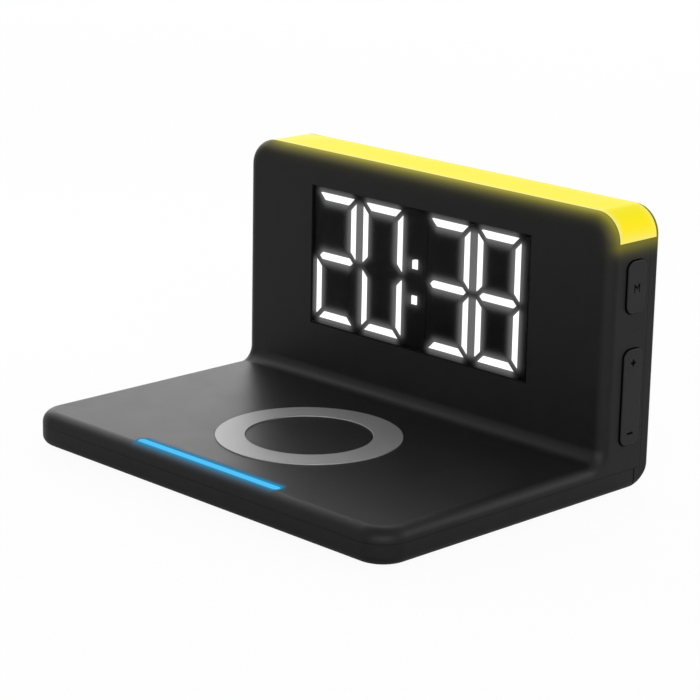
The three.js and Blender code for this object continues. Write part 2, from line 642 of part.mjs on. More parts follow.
// Bottom cover: tray with screw seats, foot recesses and the posts that carry the boards and the ferrite
function bottomCover() {
  const tray = cutBy(shell, [above(BASE_SEAM), behind(BASE_SEAM_Y)]);
  const floorJoin = BASE + WALL / 2;
  const ferritePostRing = (COIL_INNER_RADIUS + COIL_OUTER_RADIUS) / 2;
  const ferritePosts = Array.from({ length: FERRITE_POSTS }, (_, index) => {
    const turn = (2 * Math.PI * (index + 0.5)) / FERRITE_POSTS;
    return [ferritePostRing * Math.cos(turn), RING_Y + ferritePostRing * Math.sin(turn)];
  });
  const posts = [
    ...baseScrewPlaces.map((place) =>
      rod('z', place, SCREW_HEAD_RADIUS + SCREW_SEAT, [floorJoin, BASE_POST_END])),
    ...chargerPostPlaces.map((place) => rod('z', place, BOARD_POST_RADIUS, [floorJoin, CHARGER_BOARD_LOW])),
    ...ferritePosts.map((place) => rod('z', place, FERRITE_POST_RADIUS, [floorJoin, FERRITE_LOW])),
    ...bothSides((hand) =>
      rod('z', [hand * indicatorPostX, INDICATOR_Y], BOARD_POST_RADIUS, [floorJoin, indicatorBoardLow])),
  ];
  const chargerBoreEnd = CHARGER_BOARD_TOP - BOARD_SCREW_LENGTH - FIT;
  return cutBy(joined([tray, ...posts]), [
    ...footPlaces.map((place) =>
      rod('z', place, FOOT_RADIUS + FIT, [-BASE, BASE + FOOT_SEAT_DEPTH], FOOT_SIDES)),
    ...baseScrewPlaces.map((place) =>
      rod('z', place, SCREW_HEAD_RADIUS + FIT, [-BASE, SCREW_SEAT_Z], SCREW_SIDES)),
    ...baseScrewPlaces.map((place) => rod('z', place, SCREW_RADIUS + FIT, [-BASE, PAD_TOP], SCREW_SIDES)),
    ...chargerPostPlaces.map((place) =>
      rod('z', place, BOARD_SCREW_RADIUS + FIT, [chargerBoreEnd, PAD_TOP], SCREW_SIDES)),
  ]);
}

// Light bar: translucent cap along the top and round both upper corners
function lightBar() {
  return shell.intersect(above(BAR_END)).intersect(block(all, [BAR_FRONT, BAR_REAR], all));
}

addPiece('front_housing', frontHousing(), BLACK_SHELL);
addPiece('rear_cover', rearCover(), BLACK_SHELL);
addPiece('bottom_cover', bottomCover(), BLACK_SHELL);
addPiece('light_bar', lightBar(), YELLOW_LIGHT);

// Strip board under the light bar, with its row of lamps
addPiece(
  'light_bar_board',
  block(
    [-barBoardHalf, barBoardHalf],
    [barBoardRear - BAR_BOARD_DEPTH, barBoardRear],
    [barBoardTop - INDICATOR_BOARD, barBoardTop],
  ),
  GREEN_BOARD,
);
const barLed = block(
  [-BAR_LED_SIZE / 2, BAR_LED_SIZE / 2],
  [-BAR_LED_SIZE / 2, BAR_LED_SIZE / 2],
  [0, BAR_LED_HEIGHT],
);
const barLedY = barBoardRear - BAR_BOARD_DEPTH / 2;
spacedPlaces(BAR_LED_COUNT, 2 * barBoardHalf).forEach((x, index) =>
  addPiece(`light_bar_led_${index + 1}`, barLed, LED_WHITE, [x, barLedY, barBoardTop]));

// Smoked lens, seated on the ledge round the window
addPiece(
  'display_lens',
  block(
    [FIT - WINDOW_WIDTH / 2, WINDOW_WIDTH / 2 - FIT],
    [HEAD_FRONT + LENS_RECESS, LENS_SEAT],
    [WINDOW_LOW + FIT, WINDOW_HIGH - FIT],
  ),
  SMOKED_LENS,
);

// Outlines of the seven segments of a digit centred on zero, with mitred ends
function segmentOutlines() {
  const half = DIGIT_WIDTH / 2;
  const top = DIGIT_HEIGHT / 2;
  const thick = SEGMENT_THICKNESS;
  const gap = SEGMENT_GAP;
  const upper = [[-half + gap, top], [-half + gap + thick, top - thick],
    [half - gap - thick, top - thick], [half - gap, top]];
  const right = [[half, top - gap], [half - thick, top - gap - thick],
    [half - thick, gap + thick], [half, gap]];
  const tip = half - gap;
  const shoulder = tip - thick / 2;
  const middle = [[-tip, 0], [-shoulder, -thick / 2], [shoulder, -thick / 2],
    [tip, 0], [shoulder, thick / 2], [-shoulder, thick / 2]];
  const flip = (points, x, z) => points.map(([across, up]) => [across * x, up * z]);
  const sides = bothSides((hand) => bothSides((end) => flip(right, hand, end))).flat();
  return [upper, flip(upper, 1, -1), ...sides, middle].map((points) =>
    points.map(([across, up]) => new THREE.Vector2(across, up)));
}

// Outlines of the two dots of the colon
function dotOutlines() {
  const half = COLON_DOT_WIDTH / 2;
  return bothSides((hand) => {
    const middle = (hand * COLON_SPREAD) / 2 - COLON_DROP;
    return roundedOutline(
      [-half, half],
      [middle - COLON_DOT_HEIGHT / 2, middle + COLON_DOT_HEIGHT / 2],
      [0, 0, 0, 0],
    );
  });
}

// A convex outline moved outwards all round
function grown(outline, amount) {
  const ring = THREE.ShapeUtils.area(outline) < 0 ? [...outline].reverse() : outline;
  const outward = (from, to) => new THREE.Vector2(to.y - from.y, from.x - to.x).normalize();
  return ring.map((point, index) => {
    const before = outward(ring[(index + ring.length - 1) % ring.length], point);
    const after = outward(point, ring[(index + 1) % ring.length]);
    const bisector = before.clone().add(after);
    return point.clone().addScaledVector(bisector, (2 * amount) / bisector.lengthSq());
  });
}

// The display characters from left to right, each with its place and its outlines
const digitPitch = DIGIT_WIDTH + DIGIT_SPACE;
const digitInner = (COLON_SPACE + DIGIT_WIDTH) / 2;
const characters = [
  { name: 'hour_tens_digit', x: -digitInner - digitPitch, outlines: segmentOutlines() },
  { name: 'hour_units_digit', x: -digitInner, outlines: segmentOutlines() },
  { name: 'colon_dots', x: 0, outlines: dotOutlines() },
  { name: 'minute_tens_digit', x: digitInner, outlines: segmentOutlines() },
  { name: 'minute_units_digit', x: digitInner + digitPitch, outlines: segmentOutlines() },
];
const segmentReach = MASK_BACK - LENS_SEAT - SEGMENT_SETBACK;

// Light mask behind the lens, with a slot for every segment and dot
function segmentMask() {
  const half = WINDOW_WIDTH / 2;
  const nose = half - LENS_LEDGE - FIT;
  const body = half + MASK_LAP;
  const slots = characters.flatMap(({ x, outlines }) => outlines.map((outline) =>
    prism('y', grown(outline, FIT).map((point) =>
      point.clone().add(new THREE.Vector2(x + DIGITS_SHIFT, WINDOW_MIDDLE))), HEAD_FRONT, REAR)));
  return cutBy(joined([
    block(
      [-nose, nose],
      [LENS_SEAT, HEAD_INSIDE + WALL],
      [WINDOW_LOW + LENS_LEDGE + FIT, WINDOW_HIGH - LENS_LEDGE - FIT],
    ),
    block([-body, body], [HEAD_INSIDE, MASK_BACK], [WINDOW_LOW - MASK_LAP, WINDOW_HIGH + MASK_LAP]),
  ]), slots);
}

// A character's diffuser: prisms that fill its slots, on a thin web behind the mask
function characterSolid(outlines) {
  const points = outlines.flat();
  const span = (pick) => [
    Math.min(...points.map(pick)) - DIGIT_WEB_MARGIN,
    Math.max(...points.map(pick)) + DIGIT_WEB_MARGIN,
  ];
  return joined([
    block(span((point) => point.x), [0, DIGIT_WEB], span((point) => point.y)),
    ...outlines.map((outline) => prism('y', outline, -segmentReach, DIGIT_WEB / 2)),
  ]);
}

addPiece('segment_mask', segmentMask(), BLACK_MASK);
characters.forEach(({ name, x, outlines }) =>
  addPiece(name, characterSolid(outlines), WHITE_LIGHT, [x + DIGITS_SHIFT, MASK_BACK, WINDOW_MIDDLE]));

// Clock board behind the digits, on four posts
function clockBoard() {
  const half = clockPostX + BOARD_POST_RADIUS;
  return cutBy(
    block([-half, half], [CLOCK_BOARD_FRONT, CLOCK_BOARD_FRONT + BOARD], [WINDOW_LOW, WINDOW_HIGH]),
    clockPostPlaces.map((place) =>
      rod('y', place, BOARD_SCREW_RADIUS + FIT, [HEAD_FRONT, REAR], SCREW_SIDES)),
  );
}
addPiece('clock_board', clockBoard(), GREEN_BOARD);

// Grip ring, lying in its seat in the deck
addPiece(
  'grip_ring',
  turned([
    [RING_INNER_RADIUS, 0],
    [RING_OUTER_RADIUS, 0],
    [RING_OUTER_RADIUS, RING_SEAT_DEPTH + RING_PROUD],
    [RING_INNER_RADIUS, RING_SEAT_DEPTH + RING_PROUD],
    [RING_INNER_RADIUS, 0],
  ], RING_SIDES),
  GREY_GRIP,
  [0, RING_Y, PAD_TOP - RING_SEAT_DEPTH],
);

// Points of the coil's wire: a flat spiral, then a straight lead over the charger board
function coilPath() {
  const steps = COIL_TURNS * COIL_STEPS;
  const spiral = Array.from({ length: steps + 1 }, (_, step) => {
    const radius = COIL_INNER_RADIUS + (COIL_PITCH * step) / COIL_STEPS;
    const turn = (2 * Math.PI * step) / COIL_STEPS;
    return new THREE.Vector3(radius * Math.cos(turn), RING_Y + radius * Math.sin(turn), COIL_Z);
  });
  const leadEnd = new THREE.Vector3(COIL_OUTER_RADIUS, CHARGER_BOARD_FRONT + COIL_LEAD_LAP, COIL_Z);
  return [...spiral, leadEnd];
}

// Least gap between stretches of wire that lie at least half a turn apart
function leastWireGap(path) {
  let least = Infinity;
  path.forEach((point, index) => path.slice(index + COIL_STEPS / 2).forEach((other) => {
    least = Math.min(least, point.distanceTo(other) - COIL_WIRE);
  }));
  return least;
}

// A wire along a flat path
function wireAlong(path) {
  const up = new THREE.Vector3(0, 0, 1);
  const rings = path.map((point, index) => {
    const before = path[Math.max(index - 1, 0)];
    const after = path[Math.min(index + 1, path.length - 1)];
    const across = new THREE.Vector3().subVectors(after, before).normalize().cross(up);
    return Array.from({ length: COIL_SIDES }, (_, side) => {
      const turn = (2 * Math.PI * side) / COIL_SIDES;
      return point.clone()
        .addScaledVector(across, (COIL_WIRE / 2) * Math.cos(turn))
        .addScaledVector(up, (COIL_WIRE / 2) * Math.sin(turn));
    });
  });
  const fan = Array.from({ length: COIL_SIDES - 2 }, (_, side) => [0, side + 1, side + 2]);
  return skinOver(rings, fan, true);
}

const coil = coilPath();
console.log(`charging coil: least gap between turns ${leastWireGap(coil).toFixed(2)} mm`);
addPiece('charging_coil', wireAlong(coil), COPPER);
addPiece(
  'ferrite_sheet',
  rod('z', [0, RING_Y], FERRITE_RADIUS, [FERRITE_LOW, FERRITE_TOP], RING_SIDES),
  FERRITE,
);

// Indicator light pipe in the deck, with a tab under it at each end, its strip board and lamps
addPiece(
  'indicator_light',
  joined([
    prism('z', pillOutline(0, INDICATOR_Y, INDICATOR_LENGTH, INDICATOR_WIDTH), indicatorPipeLow, PAD_TOP),
    prism(
      'z',
      pillOutline(0, INDICATOR_Y, INDICATOR_LENGTH + 2 * INDICATOR_TAB, INDICATOR_TAB_WIDTH),
      indicatorPipeLow,
      DECK_UNDERSIDE,
    ),
  ]),
  BLUE_LIGHT,
);
addPiece(
  'indicator_board',
  block(
    [-INDICATOR_LENGTH / 2, INDICATOR_LENGTH / 2],
    [INDICATOR_Y - INDICATOR_BOARD_WIDTH / 2, INDICATOR_Y + INDICATOR_BOARD_WIDTH / 2],
    [indicatorBoardLow, indicatorBoardTop],
  ),
  GREEN_BOARD,
);
const indicatorLed = block(
  [-INDICATOR_LED_SIZE / 2, INDICATOR_LED_SIZE / 2],
  [-INDICATOR_LED_SIZE / 2, INDICATOR_LED_SIZE / 2],
  [0, INDICATOR_LED_HEIGHT],
);
spacedPlaces(INDICATOR_LED_COUNT, INDICATOR_LENGTH).forEach((x, index) =>
  addPiece(`indicator_led_${index + 1}`, indicatorLed, LED_WHITE, [x, INDICATOR_Y, indicatorBoardTop]));

// Mode button: cap with a retaining flange inside the wall and a stem over its switch
function modeButton() {
  const flangeFace = SIDE_INSIDE - FIT;
  const flangeBack = flangeFace - BUTTON_FLANGE;
  const cap = buttonOutline(MODE_Z, MODE_LENGTH, 0);
  const flange = buttonOutline(MODE_Z, MODE_LENGTH, BUTTON_FLANGE_LAP);
  return joined([
    prism('x', cap, flangeBack, BUTTON_FACE),
    prism('x', flange, flangeBack, flangeFace),
    rod('x', [BUTTON_Y, MODE_Z], BUTTON_STEM_RADIUS, [STEM_END, SIDE_INSIDE], SCREW_SIDES),
  ]);
}

// Plus and minus rocker: cap on a hub that turns on a pin, with a stem over each switch
const stemPlaces = bothSides((hand) => ROCKER_Z + (hand * ROCKER_STEM_SPREAD) / 2);
const hubSpan = [BUTTON_Y - ROCKER_HUB_WIDTH / 2, BUTTON_Y + ROCKER_HUB_WIDTH / 2];
function adjustRocker() {
  const pinAxis = [ROCKER_PIN_X, ROCKER_Z];
  const rocker = joined([
    prism('x', buttonOutline(ROCKER_Z, ROCKER_LENGTH, 0), ROCKER_CAP_BACK, BUTTON_FACE),
    rod('y', pinAxis, ROCKER_HUB_RADIUS, hubSpan),
    block([ROCKER_PIN_X, SIDE_INSIDE], hubSpan, [ROCKER_Z - ROCKER_HUB_RADIUS, ROCKER_Z + ROCKER_HUB_RADIUS]),
    ...stemPlaces.map((z) =>
      rod('x', [BUTTON_Y, z], BUTTON_STEM_RADIUS, [STEM_END, SIDE_INSIDE], SCREW_SIDES)),
  ]);
  return rocker.subtract(rod('y', pinAxis, ROCKER_PIN_RADIUS + FIT, [HEAD_FRONT, REAR], SCREW_SIDES));
}

// Bracket on the button board, whose two ears hold the rocker's pin
const earPlaces = bothSides((hand) => {
  const inner = hand * (ROCKER_HUB_WIDTH / 2 + FIT);
  return [inner, inner + hand * ROCKER_EAR].sort((a, b) => a - b).map((offset) => BUTTON_Y + offset);
});
function rockerBracket() {
  const rise = ROCKER_HUB_RADIUS;
  const foot = block(
    [BUTTON_BOARD_FACE, BUTTON_BOARD_FACE + ROCKER_EAR / 2],
    [earPlaces[0][0], earPlaces[1][1]],
    [ROCKER_Z - rise, ROCKER_Z + rise],
  );
  const ears = earPlaces.map((span) =>
    block([BUTTON_BOARD_FACE, ROCKER_EAR_END], span, [ROCKER_Z - rise, ROCKER_Z + rise]));
  return joined([foot, ...ears]).subtract(
    rod('y', [ROCKER_PIN_X, ROCKER_Z], ROCKER_PIN_RADIUS + FIT, [HEAD_FRONT, REAR], SCREW_SIDES),
  );
}

addPiece('mode_button', modeButton(), BLACK_BUTTON);
addPiece('adjust_rocker', adjustRocker(), BLACK_BUTTON);
addPiece('rocker_bracket', rockerBracket(), STEEL);
addPiece(
  'rocker_pin',
  rod('y', [ROCKER_PIN_X, ROCKER_Z], ROCKER_PIN_RADIUS, [earPlaces[0][0], earPlaces[1][1]], SCREW_SIDES),
  STEEL,
);

// Button board on two posts from the side wall
function buttonBoard() {
  const low = buttonPostPlaces[1][1] - BOARD_POST_RADIUS;
  const high = MODE_Z + SWITCH_SIZE;
  return cutBy(
    block(
      [BUTTON_BOARD_FACE - BOARD, BUTTON_BOARD_FACE],
      [BUTTON_Y - BUTTON_BOARD_WIDTH / 2, BUTTON_Y + BUTTON_BOARD_WIDTH / 2],
      [low, high],
    ),
    buttonPostPlaces.map((place) => rod('x', place, BOARD_SCREW_RADIUS + FIT, [0, SIDE], SCREW_SIDES)),
  );
}
addPiece('button_board', buttonBoard(), GREEN_BOARD);

// Push switches: square housings with a round plunger that slides along X
const switchSpan = [-SWITCH_SIZE / 2, SWITCH_SIZE / 2];
const switchBore = [SWITCH_HEIGHT - PLUNGER_BORE_DEPTH, SWITCH_HEIGHT + FIT];
const switchBody = block([0, SWITCH_HEIGHT], switchSpan, switchSpan)
  .subtract(rod('x', [0, 0], PLUNGER_RADIUS + FIT, switchBore, SCREW_SIDES));
const plunger = rod('x', [0, 0], PLUNGER_RADIUS, [-PLUNGER_LENGTH, 0], SCREW_SIDES);
const switches = [['mode', MODE_Z], ['minus', stemPlaces[0]], ['plus', stemPlaces[1]]];
switches.forEach(([name, z]) => {
  addPiece(`${name}_switch`, switchBody, BLACK_MASK, [BUTTON_BOARD_FACE, BUTTON_Y, z]);
  addPiece(`${name}_plunger`, plunger, STEEL, [PLUNGER_TIP, BUTTON_Y, z]);
});

// Charger board, with holes over its four posts
addPiece(
  'charger_board',
  cutBy(
    block(
      [-CHARGER_BOARD_WIDTH / 2, CHARGER_BOARD_WIDTH / 2],
      [CHARGER_BOARD_FRONT, chargerBoardRear],
      [CHARGER_BOARD_LOW, CHARGER_BOARD_TOP],
    ),
    chargerPostPlaces.map((place) => rod('z', place, BOARD_SCREW_RADIUS + FIT, [BASE, PAD_TOP], SCREW_SIDES)),
  ),
  GREEN_BOARD,
);

// Power socket on the charger board: a round ended sleeve with a contact tongue, open to the rear
function powerSocket() {
  const mouth = REAR - SOCKET_SUNK;
  const back = mouth - SOCKET_LENGTH;
  const middle = CHARGER_BOARD_TOP + SOCKET_HEIGHT / 2;
  const hollow = prism(
    'y',
    pillOutline(0, middle, SOCKET_WIDTH - 2 * SOCKET_SHELL, SOCKET_HEIGHT - 2 * SOCKET_SHELL),
    back + SOCKET_BACK,
    BEYOND,
  );
  return prism('y', pillOutline(0, middle, SOCKET_WIDTH, SOCKET_HEIGHT), back, mouth)
    .subtract(hollow)
    .add(block(
      [-TONGUE_WIDTH / 2, TONGUE_WIDTH / 2],
      [back + SOCKET_BACK / 2, back + SOCKET_BACK + TONGUE_LENGTH],
      [middle - TONGUE_THICKNESS / 2, middle + TONGUE_THICKNESS / 2],
    ));
}
addPiece('power_socket', powerSocket(), STEEL);

// Beeper for the alarm, standing on the charger board
const buzzerY = (HEAD_INSIDE + REAR - WALL) / 2;
addPiece(
  'alarm_buzzer',
  turned([
    [0, 0],
    [BUZZER_RADIUS, 0],
    [BUZZER_RADIUS, BUZZER_HEIGHT],
    [BUZZER_HOLE_RADIUS, BUZZER_HEIGHT],
    [BUZZER_HOLE_RADIUS, BUZZER_HEIGHT - WALL],
    [0, BUZZER_HEIGHT - WALL],
  ], FOOT_SIDES),
  BLACK_MASK,
  [BUZZER_SIDE, buzzerY, CHARGER_BOARD_TOP],
);

// Ribbon from the charger board up to the back of the clock board
function ribbon() {
  const back = CLOCK_BOARD_FRONT + BOARD + FIT;
  const low = CHARGER_BOARD_TOP + FIT;
  const span = [RIBBON_SIDE - RIBBON_WIDTH / 2, RIBBON_SIDE + RIBBON_WIDTH / 2];
  return joined([
    block(span, [back, back + RIBBON_THICKNESS], [low, WINDOW_LOW + RIBBON_LAP]),
    block(span, [back, back + RIBBON_LAP], [low, low + RIBBON_THICKNESS]),
  ]);
}
addPiece('ribbon_cable', ribbon(), RIBBON_GREY);

// A screw with its seat at zero, its head above and its shank below, and a cross recess
function screwSolid(radius, headRadius, head, length) {
  const shank = [[0, -length], [radius, -length], [radius, 0]];
  const profile = [...shank, [headRadius, 0], [headRadius, head], [0, head]];
  const arm = headRadius - CROSS_WIDTH;
  const recess = (across, along) => block(
    [-across, across],
    [-along, along],
    [head - Math.min(CROSS_DEPTH, head / 2), head + FIT],
  );
  return cutBy(turned(profile, SCREW_SIDES), [recess(arm, CROSS_WIDTH / 2), recess(CROSS_WIDTH / 2, arm)]);
}
const baseScrew = screwSolid(SCREW_RADIUS, SCREW_HEAD_RADIUS, SCREW_HEAD, BASE_SCREW_LENGTH);
const rearScrew = screwSolid(SCREW_RADIUS, SCREW_HEAD_RADIUS, SCREW_HEAD, REAR_SCREW_LENGTH);
const boardScrew = screwSolid(
  BOARD_SCREW_RADIUS,
  BOARD_SCREW_HEAD_RADIUS,
  BOARD_SCREW_HEAD,
  BOARD_SCREW_LENGTH,
);
const HEAD_DOWN = [Math.PI, 0, 0];
const HEAD_REAR = [-Math.PI / 2, 0, 0];
const HEAD_LEFT = [0, -Math.PI / 2, 0];
const clockBoardBack = CLOCK_BOARD_FRONT + BOARD;
const buttonBoardBack = BUTTON_BOARD_FACE - BOARD;

baseScrewPlaces.forEach(([x, y], index) =>
  addPiece(`base_screw_${index + 1}`, baseScrew, STEEL, [x, y, SCREW_SEAT_Z], HEAD_DOWN));
rearScrewPlaces.forEach(([x, z], index) =>
  addPiece(`rear_screw_${index + 1}`, rearScrew, STEEL, [x, SCREW_SEAT_Y, z], HEAD_REAR));
[clockPostPlaces[0], clockPostPlaces[3]].forEach(([x, z], index) =>
  addPiece(`clock_board_screw_${index + 1}`, boardScrew, STEEL, [x, clockBoardBack, z], HEAD_REAR));
[chargerPostPlaces[0], chargerPostPlaces[3]].forEach(([x, y], index) =>
  addPiece(`charger_board_screw_${index + 1}`, boardScrew, STEEL, [x, y, CHARGER_BOARD_TOP]));
buttonPostPlaces.forEach(([y, z], index) =>
  addPiece(`button_board_screw_${index + 1}`, boardScrew, STEEL, [buttonBoardBack, y, z], HEAD_LEFT));

// Rubber feet, pressed into recesses under the base
const foot = turned([
  [0, 0],
  [FOOT_RADIUS - FOOT_CHAMFER, 0],
  [FOOT_RADIUS, FOOT_CHAMFER],
  [FOOT_RADIUS, FOOT_PROUD + FOOT_SEAT_DEPTH],
  [0, FOOT_PROUD + FOOT_SEAT_DEPTH],
], FOOT_SIDES);
footPlaces.forEach(([x, y], index) => addPiece(`foot_${index + 1}`, foot, BLACK_RUBBER, [x, y, 0]));

// The buttons stand out on the right, so the whole is moved half as far to the left to centre it
clock.position.x = -BUTTON_PROUD / 2;

const part = new THREE.Group();
part.add(clock);

export default part;
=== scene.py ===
import json
import math

import bmesh
import bpy
from bpy.props import FloatProperty, FloatVectorProperty, PointerProperty
from mathutils import Matrix, Vector

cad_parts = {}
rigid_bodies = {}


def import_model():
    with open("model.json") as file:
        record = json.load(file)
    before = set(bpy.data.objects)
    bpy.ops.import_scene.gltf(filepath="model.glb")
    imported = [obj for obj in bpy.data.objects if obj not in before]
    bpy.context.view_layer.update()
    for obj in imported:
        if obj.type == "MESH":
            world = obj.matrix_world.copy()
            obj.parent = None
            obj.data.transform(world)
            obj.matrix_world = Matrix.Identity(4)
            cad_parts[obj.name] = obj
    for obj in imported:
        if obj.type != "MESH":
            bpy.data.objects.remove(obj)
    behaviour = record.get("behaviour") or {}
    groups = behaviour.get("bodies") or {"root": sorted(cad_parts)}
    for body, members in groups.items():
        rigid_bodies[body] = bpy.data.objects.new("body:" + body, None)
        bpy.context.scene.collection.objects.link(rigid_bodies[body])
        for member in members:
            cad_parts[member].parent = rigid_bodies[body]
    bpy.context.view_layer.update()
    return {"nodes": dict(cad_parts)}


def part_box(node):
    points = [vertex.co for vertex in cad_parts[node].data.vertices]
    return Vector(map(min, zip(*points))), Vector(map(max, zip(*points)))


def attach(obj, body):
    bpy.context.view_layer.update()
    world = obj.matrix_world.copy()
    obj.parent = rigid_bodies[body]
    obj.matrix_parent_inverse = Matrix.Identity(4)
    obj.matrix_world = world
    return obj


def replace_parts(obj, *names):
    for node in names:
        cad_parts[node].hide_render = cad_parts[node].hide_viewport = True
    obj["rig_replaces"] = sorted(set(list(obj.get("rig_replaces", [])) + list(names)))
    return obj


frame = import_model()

bl_info = {
    "name": "Charging clock",
    "version": (1, 0, 0),
    "blender": (4, 5, 0),
    "location": "3D View > Sidebar > Clock",
    "description": "Builds the shells, display, lights, buttons and finishes of a bedside charging clock",
    "category": "Object",
}

MM = 0.001
WELD = 0.001 * MM
FAR = 1.0
EVERYWHERE = (-FAR, FAR)
LEAST_RADIUS = 0.4 * MM
ROUND_STEPS = 10
CORNER_STEPS = 16
ROD_SIDES = 48
SMOOTH_ANGLE = math.radians(28)
PLACE_DIGITS = 7

# Planes of the body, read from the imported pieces
HOUSING_LOW, HOUSING_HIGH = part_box("front_housing")
BAR_LOW, BAR_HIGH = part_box("light_bar")
LENS_LOW, LENS_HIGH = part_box("display_lens")
STRIP_LOW, STRIP_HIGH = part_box("indicator_light")
RING_LOW, RING_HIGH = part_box("grip_ring")
MASK_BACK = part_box("segment_mask")[1].y
MIDDLE = (HOUSING_LOW.x + HOUSING_HIGH.x) / 2
SIDE = HOUSING_HIGH.x - MIDDLE
FRONT = HOUSING_LOW.y
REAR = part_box("rear_cover")[1].y
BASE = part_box("bottom_cover")[0].z
TOP = BAR_HIGH.z
PAD_TOP = STRIP_HIGH.z
BASE_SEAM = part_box("bottom_cover")[1].z
RING_CENTRE = (MIDDLE, (RING_LOW.y + RING_HIGH.y) / 2)
RING_OUTER = (RING_HIGH.x - RING_LOW.x) / 2
STRIP_HALF = (STRIP_HIGH.y - STRIP_LOW.y) / 2

# Sizes of the pad's pieces that their boxes don't give
RING_INNER = 20.1 * MM
STRIP_TAB = 2.0 * MM
STRIP_SHOULDER = 0.45 * MM


def length(name, description, millimetres):
    """A length that a user may change, given in millimetres."""
    return FloatProperty(name=name, description=description, default=millimetres * MM, unit="LENGTH")


def bearing(name, description, degrees):
    """An angle that a user may change, given in degrees."""
    return FloatProperty(name=name, description=description, default=math.radians(degrees), unit="ROTATION")


def tint(name, description, colour):
    """A colour that a user may change, as linear red, green and blue."""
    return FloatVectorProperty(
        name=name, description=description, default=colour, subtype="COLOR", size=3, min=0, max=1
    )


class ClockShape(bpy.types.PropertyGroup):
    """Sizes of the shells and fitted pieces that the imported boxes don't give."""

    wall: length("Wall", "Thickness of the moulded shells", 2.0)
    edge_radius: length("Edge radius", "Rounding of the pad's top edge and the head's front edge", 4.0)
    base_edge_radius: length("Base edge radius", "Rounding of the edge under the base", 3.0)
    pad_corner_radius: length("Pad corner radius", "Rounding of the pad's front corners in plan", 9.8)
    head_corner_radius: length("Head corner radius", "Rounding of the head's top corners", 9.0)
    inner_bend_radius: length("Inner bend radius", "Hollow bend between the pad and the head", 4.5)
    rear_bend_radius: length("Rear bend radius", "Bend from the back down to the base", 7.4)
    rear_edge_radius: length("Rear edge radius", "Rounding of the back panel's edge", 1.6)
    seam: length("Seam", "Packed gap between two shells", 0.3)
    base_gap: length("Base seam gap", "Shown gap between the housing and the bottom cover", 0.09)
    rear_gap: length("Rear seam gap", "Shown gap between the housing and the rear cover", 0.1)
    corner_gap: length("Corner seam gap", "Shown gap between the bottom and rear covers", 0.45)
    bar_gap: length("Bar gap", "Shown gap round the light bar", 0.1)
    base_seam_setback: length("Base seam setback", "From the back to the end of the bottom cover", 7.2)
    rear_seam_setback: length("Rear seam setback", "From the back to the rear cover's seam", 4.2)
    lens_recess: length("Lens recess", "How far the lens lies below the head's front", 0.2)
    lens_ledge: length("Lens ledge", "Ledge that carries the lens", 1.0)
    fit: length("Fit", "Clearance round a fitted piece", 0.3)
    button_radius: length("Button radius", "Rounding of the buttons' corners", 2.8)
    button_edge: length("Button edge", "Rounding of the buttons' rims", 0.3)
    sound_hole: length("Sound hole", "Width of a hole over the alarm buzzer", 1.1)
    sound_pitch: length("Sound pitch", "Spacing of the sound holes", 2.2)
    vent_width: length("Vent width", "Width of a vent slot under the base", 1.3)
    vent_length: length("Vent length", "Length of a vent slot under the base", 14.0)
    vent_pitch: length("Vent pitch", "Spacing of the vent slots", 3.4)
    inlet_rim: length("Inlet rim", "Width of the sunk rim round the inlet", 0.9)
    inlet_sink: length("Inlet sink", "Depth of the sunk rim round the inlet", 0.35)


class ClockFinish(bpy.types.PropertyGroup):
    """Colours of the visible finishes."""

    shell: tint("Shell", "Satin black of the moulded shells", (0.0065, 0.0065, 0.0065))
    button: tint("Button", "Fine textured black of the buttons", (0.006, 0.006, 0.006))
    mark: tint("Marks", "Ink of the function marks", (0.001, 0.001, 0.001))
    lens: tint("Lens", "Smoked display window", (0.003, 0.003, 0.0032))
    grip: tint("Grip ring", "Grey silicone of the ring", (0.245, 0.245, 0.245))
    digits: tint("Digits", "Light of the segments", (1.0, 1.0, 1.0))
    bar: tint("Light bar", "Light of the bar", (0.87, 0.765, 0.02))
    bar_core: tint("Light bar core", "Deepest colour of the bar, at its ends", (0.95, 0.77, 0.002))
    bar_rim: tint("Light bar rim", "Palest colour of the bar, at its edges", (0.88, 0.8, 0.2))
    bar_pale: tint("Light bar's pale end", "Colour of the bar's left end", (0.9, 0.85, 0.45))
    # Painted glow of the bar, emitted by the shells round it
    painted_bar_spill: tint("Painted light bar spill", "Light of the bar on the shells", (1.0, 0.91, 0.05))
    strip: tint("Indicator", "Light of the indicator", (0.08, 0.52, 0.91))
    strip_edge: tint("Indicator edge", "Deeper light along the indicator's edges", (0.025, 0.23, 0.4))
    # Painted glow of the indicator, emitted by the deck round it
    painted_strip_spill: tint("Painted indicator spill", "Light of the indicator on the deck", (0.0, 0.245, 0.48))
    rubber: tint("Rubber", "Feet", (0.012, 0.012, 0.012))
    floor: tint("Floor", "Pale floor", (0.86, 0.86, 0.86))


class ClockStage(bpy.types.PropertyGroup):
    """Camera, lamps and floor."""

    azimuth: bearing("Azimuth", "Camera's turn round the clock", 45.254)
    elevation: bearing("Elevation", "Camera's height angle", 15.655)
    roll: bearing("Roll", "Camera's turn about its own axis", 1.1235)
    distance: length("Distance", "From the camera to its target", 751.09)
    target: FloatVectorProperty(
        name="Target", description="Point that the camera looks at",
        default=(0.02841, -0.02197, 0.04787), subtype="TRANSLATION", size=3, unit="LENGTH",
    )
    lens: FloatProperty(name="Focal length", description="In millimetres, on a 36 mm sensor", default=129.56)
    floor_size: length("Floor size", "Side of the square floor", 6000.0)
    sky: FloatProperty(name="Sky", description="Strength of the even light from all round", default=0.34)


def shape():
    """The shape settings of this scene."""
    return bpy.context.scene.clock_shape


def finish():
    """The colour settings of this scene."""
    return bpy.context.scene.clock_finish


def head_front():
    """Plane of the head's front."""
    return LENS_LOW.y - shape().lens_recess


# Solids

def quarter_turn(steps=ROUND_STEPS):
    """Equal shares of a quarter turn."""
    return [math.pi / 2 * step / steps for step in range(steps + 1)]


